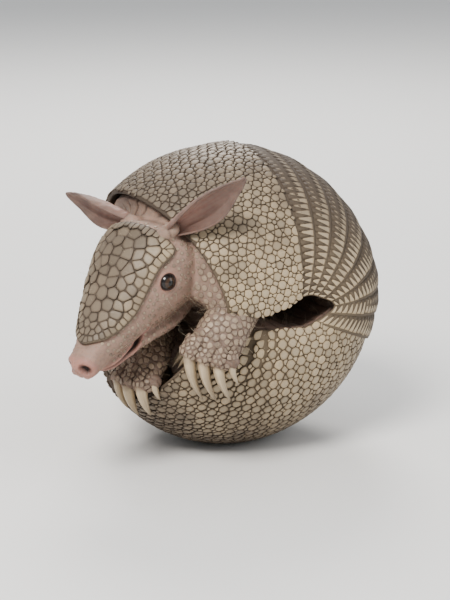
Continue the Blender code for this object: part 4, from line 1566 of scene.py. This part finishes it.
def tail_at(share, turn, lift=0.0):
    """A place on the sheath, from the root (0) to the tip (1), and the way out of it."""
    share, turn = matched(share, turn)
    ring = TAIL_RINGS * share % 1
    where = np.clip(share, 0, 1) * (len(tail_path) - 1)
    girth = np.interp(where, tail_counts, tail_girths)
    swell = 0.55 * MM * (ring - 0.6) * smoothstep(0, 3 * MM, girth) * (1 - smoothstep(0.96, 1, ring))
    side, up, centre = (rows_at(where, tail_counts, rows) for rows in (tail_side, tail_up, tail_centres))
    out = side * np.cos(turn)[..., None] + up * np.sin(turn)[..., None]
    return centre + out * (girth * 0.97 + swell + lift)[..., None], out


def tail_centres_of_scutes(seed):
    """Centres of scutes on the tail, the ways out, radii, which are kept and the cells' largest reach."""
    chance = np.random.default_rng(seed)
    found, rows = [], []
    for ring in range(TAIL_RINGS):
        loose = smoothstep(0.78, 0.95, ring / TAIL_RINGS)
        rows.append(((ring + 0.30) / TAIL_RINGS, 0.8, ring % 2, loose))
        rows.append(((ring + 0.72) / TAIL_RINGS, 1.0, ring % 2 + 0.5, loose))
    for share, weight, phase, loose in rows:
        girth = float(np.interp(share, np.linspace(0, 1, len(tail_girths)), tail_girths))
        count = max(6, round(2 * math.pi * girth / (4.3 * MM - 1.2 * MM * share)))
        for k in range(count):
            turn = 2 * math.pi * (k + phase + chance.normal(0, 0.06)) / count
            point, out = tail_at(share + chance.normal(0, 0.0025) * loose, turn, -0.05 * MM)
            found.append((point, out, 2.0 * MM * weight, 0.01 < share < 0.975, min(5.6 * MM, 1.1 * girth)))
    return [np.array(column) for column in zip(*found)]


places, outs, radii, kept, reach = tail_centres_of_scutes(21)
tone = np.clip(np.random.default_rng(22).normal(0.5, 0.17, len(places)), 0, 1)
cells = cells_mesh("tail_cells", mosaic(places, outs, radii, kept, reach, corner=0.12), paint(0.35, tone))
raised = grown("tail_scutes", cells, scutes, Groove=0.35 * MM, Height=0.5 * MM, Crown=0.66, Sink=0.5 * MM)
shares = np.linspace(0, 1, 16 * TAIL_RINGS)
sweep = full_turn(32)
core = loft(tail_at(shares[:, None], sweep[None])[0])
for label, values in paint(np.full(len(core.vertices), 0.35), 0.5).items():
    write_values(core, label, values)
print("tail:", round(walk_along(tail_centres)[-1] / MM), "mm,", len(cells.polygons), "scutes")
shell_piece("tail", core, raised, [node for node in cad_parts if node.startswith("tail_")])

# %% [markdown]
# ## Ears
#
# The ears are leather: thin, bare, and long for the head. Each is a leaf rolled into a tube at its
# root, with a fold inside that runs beside the front edge, and fine pebbles and veins on its back.
# One rule gives its middle surface, and a rounded plate is made of it.

# %% The ears
def ear_surface(side, rows=56, columns=49):
    along, across = crossed(np.linspace(0, 1, rows), np.linspace(-1, 1, columns))
    half = 0.52 + 0.48 * np.sin(math.pi * np.minimum(1, along * 1.25) * 0.8)
    half = EAR_HALF_WIDTH * half * (1 - along**3.2) + 0.5
    roll = np.radians(120 - 75 * along**0.7)
    radius = half / roll * 1.25
    turn = roll * across
    bend = 5 * along**2 - radius * (np.cos(turn) - 1)
    points = np.stack([radius * np.sin(turn), bend, EAR_LENGTH * along], -1) * MM
    out = unit(np.cross(np.gradient(points, axis=1), np.gradient(points, axis=0)))
    if out[rows // 2, columns // 2] @ (0, 1, 0) < 0:
        out = -out
    begin = smoothstep(0.08, 0.25, along)
    ridge = 0.75 * bump(across - 0.62, 0.10) * begin * (1 - smoothstep(0.62, 0.85, along))
    ridge += 0.6 * bump(across + 0.60, 0.10) * begin * (1 - smoothstep(0.55, 0.8, along))
    ridge += 0.4 * bump(across - 0.12 + 0.2 * along, 0.10) * (1 - smoothstep(0.3, 0.7, along))
    ripple = 0.12 * np.sin(along * 60 + 3 * across) * (1 - across**2)
    veins = np.zeros_like(along)
    for lean in (-0.55, -0.25, 0.0, 0.3, 0.6):
        veins += bump(across - lean * (0.25 + 0.9 * along) - 0.05 * np.sin(9 * along + 7 * lean), 0.035)
    rough = chance_field(points.reshape(-1, 3), 420, 5 if side == "left" else 6).reshape(along.shape)
    return points, out, along, across, ridge + ripple, veins, rough


def ear_mesh(side):
    points, out, along, across, ridge, veins, rough = ear_surface(side)
    front = points + out * ((1.4 - 0.5 * along) / 2 + ridge)[..., None] * MM
    ways = unit(from_ear(side, out) - from_ear(side, 0 * out))
    base = rounded_plate("ear_" + side, from_ear(side, front), ways, 1.35 * MM, {
        "edge": np.abs(across) ** 3, "along": along, "veins": np.clip(veins, 0, 1)})
    co, normals = arrays_of(base)
    count = along.size
    push = np.zeros(len(co))
    push[count:2 * count] = (0.30 * veins + 0.28 * rough - 0.3 * np.clip(ridge, 0, 1)).reshape(-1)
    push[:count] = (0.14 * rough).reshape(-1)
    return moved(base, co + normals * push[:, None] * MM)


def ear_finish():
    made, tree, shader = finish(
        "ear leather", Roughness=0.62, IOR=1.45, Subsurface_Weight=0.12, Subsurface_Scale=0.002)
    shader.inputs["Subsurface Radius"].default_value = (1.0, 0.35, 0.2)
    edge, along, veins = (attribute(tree, label) for label in ("edge", "along", "veins"))
    cloud, fine = noise_at(tree, 90, 4), noise_at(tree, 900, 3)
    body = coated(
        tree, (0.30, 0.185, 0.150),
        (along.ramp(0.05, 0.9), (0.185, 0.130, 0.110)),
        ((edge * 0.75).math("MINIMUM", 0.7), (0.11, 0.078, 0.066)),
        (veins * 0.35, (0.22, 0.085, 0.07)),
        (cloud.ramp(0.35, 0.7) * 0.35, (0.36, 0.24, 0.19)),
    )
    feed(tree, shader, Base_Color=body, bump=pebbles_at(tree, 900.0) * -0.8 + fine * 0.4, distance=0.16 * MM)
    return made


leather = ear_finish()
for side in EARS:
    piece("ear_" + side, ear_mesh(side), [leather], ["ear_" + side])

# %% [markdown]
# ## Eyes
#
# An armadillo's eyes are small, dark and wet. Each is a whole ball set in the lids, with a slight
# bulge of the cornea; the iris is a brown so dark that it only shows next to the black pupil. A
# clear coat stands for the tears and gives one sharp glint of the lamp.

# %% The eyes
def eye_mesh(side):
    bm = bmesh.new()
    bmesh.ops.create_uvsphere(bm, u_segments=48, v_segments=32, radius=1.0)
    mesh = bpy.data.meshes.new("eye_" + side)
    bm.to_mesh(mesh)
    bm.free()
    co = arrays_of(mesh)[0]
    turn = np.arccos(np.clip(co[:, 2], -1, 1))  # from the middle of the cornea
    look = unit(np.array((0.18, 0.95 if side == "left" else -0.95, 0.06)))
    east = unit(np.cross((0, 0, 1.0), look))
    co = co * (EYE_RADIUS * (1 + 0.05 * bump(turn, 0.55)))[:, None]
    co = co @ np.stack([east, np.cross(look, east), look])
    mesh.vertices.foreach_set("co", from_head(eye_in_head[side] * MM + co).reshape(-1))
    write_values(mesh, "turn", turn)
    mesh.shade_smooth()
    return outward(mesh)


def eye_finish():
    made, tree, shader = finish(
        "eye", Roughness=0.35, Specular_IOR_Level=0.2, Coat_Weight=1.0, Coat_Roughness=0.02)
    turn = attribute(tree, "turn")
    body = coated(
        tree, (0.002, 0.002, 0.002),
        (turn.ramp(0.30, 0.36), (0.050, 0.024, 0.011)),
        (turn.ramp(0.62, 0.78), (0.008, 0.005, 0.004)),
    )
    feed(tree, shader, Base_Color=body)
    return made


eye_wet = eye_finish()
for side in eyes:
    piece("eye_" + side, eye_mesh(side), [eye_wet], ["eye_" + side])

# %% [markdown]
# ## Claws
#
# The claws of the forefeet are the digging tools: long, thick at the root and curved down, with a
# ridge along the back and a flatter sole. Horn grows from the root, so its layers run lengthwise as
# fine lines, and the worn tip is darker with soil. Each claw is lofted along a curve from the plan
# that the toes already made.

# %% The claws
def claw_mesh(root, ahead, curl, length, girth, back, seed):
    shares = np.linspace(0, 1, 26)
    middle = root + unit(ahead + curl) * length * 0.5
    tip = middle + curl * length * 0.55
    t = shares[:, None]
    centres = root * (1 - t) ** 2 + middle * 2 * t * (1 - t) + tip * t**2
    girths = girth * (1 - 0.9 * shares**1.7)
    forward = unit(np.gradient(centres, axis=0))
    up = unit(back - forward * (forward @ back)[:, None])
    side = np.cross(forward, up)
    turn = full_turn(24)
    from_back = np.mod(turn - math.pi / 2 + math.pi, 2 * math.pi) - math.pi
    ridge = 1 + 0.16 * bump(from_back, 0.5) - 0.10 * bump(turn - 1.5 * math.pi, 0.7)
    ridge = ridge + 0.018 * np.cos(12 * turn + seed)
    wide, thick = (0.9 * ridge * np.cos(turn))[None, :, None], (1.15 * ridge * np.sin(turn))[None, :, None]
    mesh = loft(centres[:, None] + girths[:, None, None] * (side[:, None] * wide + up[:, None] * thick))
    streaks = np.random.default_rng(seed).uniform(0, 1, len(turn))
    write_values(mesh, "share", np.concatenate([np.repeat(shares, len(turn)), [0, 1]]))
    write_values(mesh, "streak", np.concatenate([np.tile(streaks, len(shares)), [0.5, 0.5]]))
    return mesh


def claw_finish():
    made, tree, shader = finish("claw horn", IOR=1.54, Coat_Weight=0.15, Coat_Roughness=0.3)
    share, streak = attribute(tree, "share"), attribute(tree, "streak")
    cloud, fine = noise_at(tree, 260, 4), noise_at(tree, 1500, 2)
    body = coated(
        tree, (0.50, 0.40, 0.27),
        (share.ramp(0.0, 0.85), (0.33, 0.255, 0.17)),
        ((streak * 0.5 + cloud * 0.5).ramp(0.35, 0.75) * 0.5, (0.62, 0.52, 0.37)),
        ((share + (cloud - 0.5) * 0.5).ramp(0.72, 1.1) * 0.6, (0.13, 0.10, 0.075)),
        ((1 - (share + (cloud - 0.5) * 0.2).ramp(0.02, 0.2)) * 0.6, (0.16, 0.10, 0.075)),
    )
    feed(tree, shader, Base_Color=body, Roughness=0.34 + cloud * 0.3, bump=fine * 0.6 + streak * 0.4)
    return made


claw_horn = claw_finish()
for limb_name, plans in claw_plans.items():
    claws = [claw_mesh(*plan, seed=i) for i, plan in enumerate(plans)]
    nodes = [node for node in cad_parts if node.startswith(limb_name + "_claw")]
    piece(limb_name + "_claws", merged(limb_name + "_claws", claws), [claw_horn], nodes)

# %% [markdown]
# ## Scales on the legs, the neck and the cheeks
#
# Where the shell ends, the skin still carries horny scales: close-set and round on the legs and the
# backs of the paws, in rows across the neck, and small and scattered under the eyes. Their places
# are scattered on the skin with a least distance between them, which is how crowded scales space
# themselves, and the same cells and the same tree as on the shell turn them into low pillows.

# %% Scatter the scales
def scattered(points, spacing, seed):
    """Numbers of points chosen so that no two lie nearer than their spacing."""
    chance = np.random.default_rng(seed)
    grid, chosen = {}, []
    boxes = np.floor(points / float(spacing.max())).astype(int)
    steps = (-1, 0, 1)
    for i in chance.permutation(len(points)):
        x, y, z = boxes[i]
        near = [j for a in steps for b in steps for c in steps for j in grid.get((x + a, y + b, z + c), ())]
        if near and norm(points[near] - points[i]).min() < spacing[i]:
            continue
        grid.setdefault((x, y, z), []).append(i)
        chosen.append(i)
    return np.array(chosen)


def in_the_open(places, outs):
    """Whether each place can be seen from outside the shell."""
    return np.array([cover.ray_cast(Vector(p + n * MM), Vector(n), 12 * MM)[0] is None
                     for p, n in zip(places, outs)])


def scale_finish():
    made, tree, shader = finish("scale horn", IOR=1.5)
    tone, rise = attribute(tree, "tone"), attribute(tree, "rise")
    cloud, fine = noise_at(tree, 60, 4), noise_at(tree, 900, 3)
    body = coated(
        tree, (0.165, 0.122, 0.090),
        (tone, (0.400, 0.310, 0.225)),
        (cloud.ramp(0.35, 0.75) * 0.5, (0.23, 0.16, 0.125)),
        ((1 - rise.ramp(0.1, 0.8)) * 0.7, (0.13, 0.088, 0.068)),
        (rise.ramp(0.7, 1.0) * fine.ramp(0.4, 0.7) * 0.4, (0.46, 0.37, 0.28)),
    )
    feed(tree, shader, Base_Color=body, Roughness=0.62 - rise * 0.16 + (fine - 0.5) * 0.2,
         bump=fine, distance=0.1 * MM)
    return made


scale_horn = scale_finish()
scale_pillows = scute_tree("scales", scale_horn)
co, normals = arrays_of(skin_mesh)
place = to_head(co) / MM
behind, half_way = -place[:, 0], mouth_offset(place)[0]
on_ridge = 1 - fold(neck_phase, 0.5)
claw_roots = np.array([plan[0] for plans in claw_plans.values() for plan in plans])
from_claws = np.min(norm(co[:, None] - claw_roots), axis=1) / MM
from_eyes = np.min([norm(place - e) for e in eye_in_head.values()], axis=0)
below_nape = co[:, 2] < CENTRE[2] + 53 * MM  # the shield rubs the nape bare
leg = (on_limb > 0.75) & (from_claws > 5.5)
throat = (on_neck > 0.6) & (on_ridge > 0.8) & (on_limb < 0.3) & below_nape
cheek = (on_head > 0.9) & (behind > 17) & (behind < 92) & (half_way > 2.6) & (from_eyes > 8.5)
# where, spacing, radius, groove and height, the last four in mm
SCALES = {
    "leg_scales": (leg, 3.1, 1.65, 0.4, 0.42),
    "neck_scales": (throat, 3.7, 1.6, 0.6, 0.42),
    "cheek_scales": (cheek, 3.0, 1.0, 0.5, 0.26),
}
for seed, (name, (mask, spacing, radius, groove, height)) in enumerate(SCALES.items(), 61):
    picked = np.nonzero(mask)[0]
    size = spacing * MM * (1 + 0.22 * chance_field(co[picked], 45, seed))
    if name == "leg_scales":
        size = size * (0.72 + 0.28 * smoothstep(6, 16, from_claws[picked]))
    chosen = picked[scattered(co[picked], size, seed)]
    places, outs = co[chosen], unit(normals[chosen])
    tone = np.clip(np.random.default_rng(seed).normal(0.5, 0.2, len(chosen)), 0, 1)
    radii = np.full(len(chosen), radius * MM)
    cells = mosaic(places, outs, radii, in_the_open(places, outs), radius * 1.45 * MM, corner=0.25)
    cells = cells_mesh(name + "_cells", cells, {"tone": tone, "rise": 0 * tone})
    print(len(cells.polygons), "scales")
    made = grown(name, cells, scale_pillows,
                 Groove=groove * MM, Height=height * MM, Bevel=0.82, Crown=0.55, Sink=0.35 * MM)
    piece(name, made, [scale_horn])

# %% [markdown]
# ## Bristles
#
# A nine-banded armadillo is nearly bald, but pale bristles stand singly on its belly, its cheeks and
# the insides of its legs, between the scales. Each is a thin tapering hair with a slight bend. A
# Geometry Nodes tree scatters them on the bare skin, leans them at random, and makes them solid. The
# coat has a map of its own, in which each hair is one small patch at the place of its root, on an
# unwrap of the skin round the curl.

# %% One hair
HAIR_PATCH = 0.003  # width of a hair's patch on the map


def hair_mesh():
    rows, sides = 5, 3
    points = []
    for t in np.linspace(0, 1, rows):
        girth = 0.075 * MM * (1 - 0.85 * t)
        for turn in 2 * math.pi * np.arange(sides) / sides:
            points.append((girth * math.cos(turn) + 1.6 * MM * t * t, girth * math.sin(turn), 7 * MM * t))
    caps = [tuple(range(sides))[::-1], tuple(range((rows - 1) * sides, rows * sides))]
    return outward(mesh_of("hair", points, [*grid_faces(rows, sides, closed=True), *caps]))


def hair_finish():
    made, tree, shader = finish("bristle", Roughness=0.45, IOR=1.5)
    cloud = noise_at(tree, 120, 2)
    feed(tree, shader, Base_Color=colour_mix(tree, cloud, (0.42, 0.33, 0.22), (0.70, 0.62, 0.50)))
    return made


def bristle_tree(hair, material):
    tree, skin, n = group_tree("bristles", {"Spacing": 0.004, "Density": 60000.0, "Seed": 5})
    spread = add(tree, "GeometryNodeDistributePointsOnFaces", {"distribute_method": "POISSON"},
                 {"Mesh": skin, "Distance Min": n["Spacing"], "Density Max": n["Density"], "Seed": n["Seed"]})
    tilt = add(tree, "FunctionNodeRandomValue", {"data_type": "FLOAT_VECTOR"},
               {0: (-0.5, -0.5, -3.1), 1: (0.5, 0.5, 3.1), "Seed": n["Seed"]})
    turned = add(tree, "FunctionNodeRotateRotation", {"rotation_space": "LOCAL"},
                 {0: spread.other("Rotation"), 1: add(tree, "FunctionNodeEulerToRotation", {}, {0: tilt})})
    length = add(tree, "FunctionNodeRandomValue", {"data_type": "FLOAT"},
                 {2: 0.55, 3: 1.25, "Seed": n["Seed"] + 1}, out=1)
    carrier = add(tree, "GeometryNodeObjectInfo", {}, {"Object": hair}, out="Geometry")
    root = add(tree, "GeometryNodeStoreNamedAttribute", {"data_type": "FLOAT_VECTOR", "domain": "POINT"},
               {"Geometry": spread, "Name": "root", "Value": add(tree, "GeometryNodeInputPosition")})
    placed = add(tree, "GeometryNodeInstanceOnPoints", {},
                 {"Points": root, "Instance": carrier, "Rotation": turned, "Scale": length})
    return finish_tree(tree, placed, material)


def bare_skin(mask):
    """A copy of the skin's faces whose corners all lie in the mask."""
    bm = bmesh.new()
    bm.from_mesh(skin_mesh)
    bmesh.ops.delete(bm, geom=[v for v in bm.verts if not mask[v.index]], context="VERTS")
    made = bpy.data.meshes.new("bare_skin")
    bm.to_mesh(made)
    bm.free()
    return made


def bake_map(mesh):
    """The OFBake map: each hair a small patch at its root's place on the unwrapped skin."""
    roots = np.empty(len(mesh.vertices) * 3, np.float32)
    mesh.attributes["root"].data.foreach_get("vector", roots)
    roots = roots.reshape(-1, 3) - CENTRE
    co = arrays_of(mesh)[0] - CENTRE - roots
    u = np.arctan2(roots[:, 2], roots[:, 0]) / (2 * math.pi) + 0.5
    v = roots[:, 1] / (200 * MM) + 0.5
    share = np.clip(norm(co) / (9 * MM), 0, 1)
    within = np.stack([share, np.sin(co[:, 0] * 9e4) * 0.5 + 0.5], -1) - 0.5
    place = np.clip(np.stack([u, v], -1) + HAIR_PATCH * within, 0.002, 0.998)
    corners = np.empty(len(mesh.loops), np.int32)
    mesh.loops.foreach_get("vertex_index", corners)
    layer = mesh.uv_layers.new(name="OFBake")
    layer.data.foreach_set("uv", place[corners].astype(np.float32).reshape(-1))


hair = on_scene("hair", hair_mesh())
mask = (from_claws > 7) & (from_eyes > 9) & ((on_head < 0.2) | cheek) & (half_way > 3.5) & below_nape
mask[mask] = in_the_open(co[mask], unit(normals[mask]))
bristles = grown("bristles", bare_skin(mask), bristle_tree(hair, hair_finish()), Spacing=4.2 * MM)
bpy.data.objects.remove(hair)
bake_map(bristles)
print("hairs:", triangles(bristles) // 26)
piece("bristles", bristles, [])

# %% [markdown]
# ## Floor, light and camera
#
# The model stands on a wide, plain, pale floor, under a large soft lamp on its left, a weaker one on
# the other side, one behind it and an even sky. The camera looks a little down on it, off its left
# front.

# %% The studio
def studio():
    floor_finish, _, shader = finish("floor", Roughness=0.85)
    shader.inputs["Base Color"].default_value = (0.80, 0.79, 0.77, 1)
    turns = full_turn(48)
    rings = [(r * np.cos(t), r * np.sin(t), 0.0) for r in (0.5, 2.0, 14.0) for t in turns]
    middle = [(0, 1 + k, 1 + (k + 1) % 48) for k in range(48)]
    mesh = outward(mesh_of("floor", [(0, 0, 0), *rings], middle + grid_faces(3, 48, 1, closed=True).tolist()))
    if mesh.polygons[0].normal.z < 0:
        mesh.flip_normals()
    mesh.materials.append(floor_finish)
    on_scene("floor", mesh)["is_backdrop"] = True
    world = bpy.data.worlds.new("studio")
    world.use_nodes = True
    sky = world.node_tree.nodes["Background"].inputs
    sky["Color"].default_value, sky["Strength"].default_value = (0.93, 0.96, 1.0, 1), 0.55
    bpy.context.scene.world = world
    for name, place, size, power, colour in (
        ("key", (-0.95, -0.65, 1.3), 0.7, 26, (1.0, 0.975, 0.94)),
        ("fill", (1.0, -0.95, 0.7), 1.1, 5, (0.93, 0.96, 1.0)),
        ("rim", (0.55, 1.1, 1.1), 0.7, 14, (1.0, 0.98, 0.95)),
    ):
        light = bpy.data.lights.new(name, "AREA")
        light.shape, light.size, light.energy, light.color = "DISK", size, power, colour
        lamp = on_scene(name, light)
        lamp.location = place
        lamp.rotation_euler = (Vector(place) - Vector(CENTRE)).to_track_quat("Z", "Y").to_euler()


def camera():
    azimuth, elevation, distance = math.radians(-30), math.radians(15), 1.3
    height_seen = 0.3664  # metres from the bottom to the top of the picture at the curl's centre
    level = math.cos(elevation)
    back = Vector((math.sin(azimuth) * level, -math.cos(azimuth) * level, math.sin(elevation)))
    right = Vector((math.cos(azimuth), math.sin(azimuth), 0))
    aim = Vector(CENTRE) - right * 0.8 * MM - back.cross(right) * 2.3 * MM
    data = bpy.data.cameras.new("camera")
    data.sensor_fit, data.sensor_height = "VERTICAL", 24
    data.lens = 24 * distance / height_seen
    made = on_scene("camera", data)
    made.location = aim + back * distance
    made.rotation_euler = back.to_track_quat("Z", "Y").to_euler()
    bpy.context.scene.camera = made


studio()
camera()
bpy.context.scene.view_settings.view_transform = "AgX"
bpy.context.scene.view_settings.look = "AgX - Medium High Contrast"
print("the studio is ready")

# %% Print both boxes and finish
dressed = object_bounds()
for label, corners in (("solids", cad_box), ("dressed", dressed)):
    print(label, *[tuple(round(c / MM, 1) for c in corner) for corner in corners])
print("seconds so far:", round(time.time() - started))
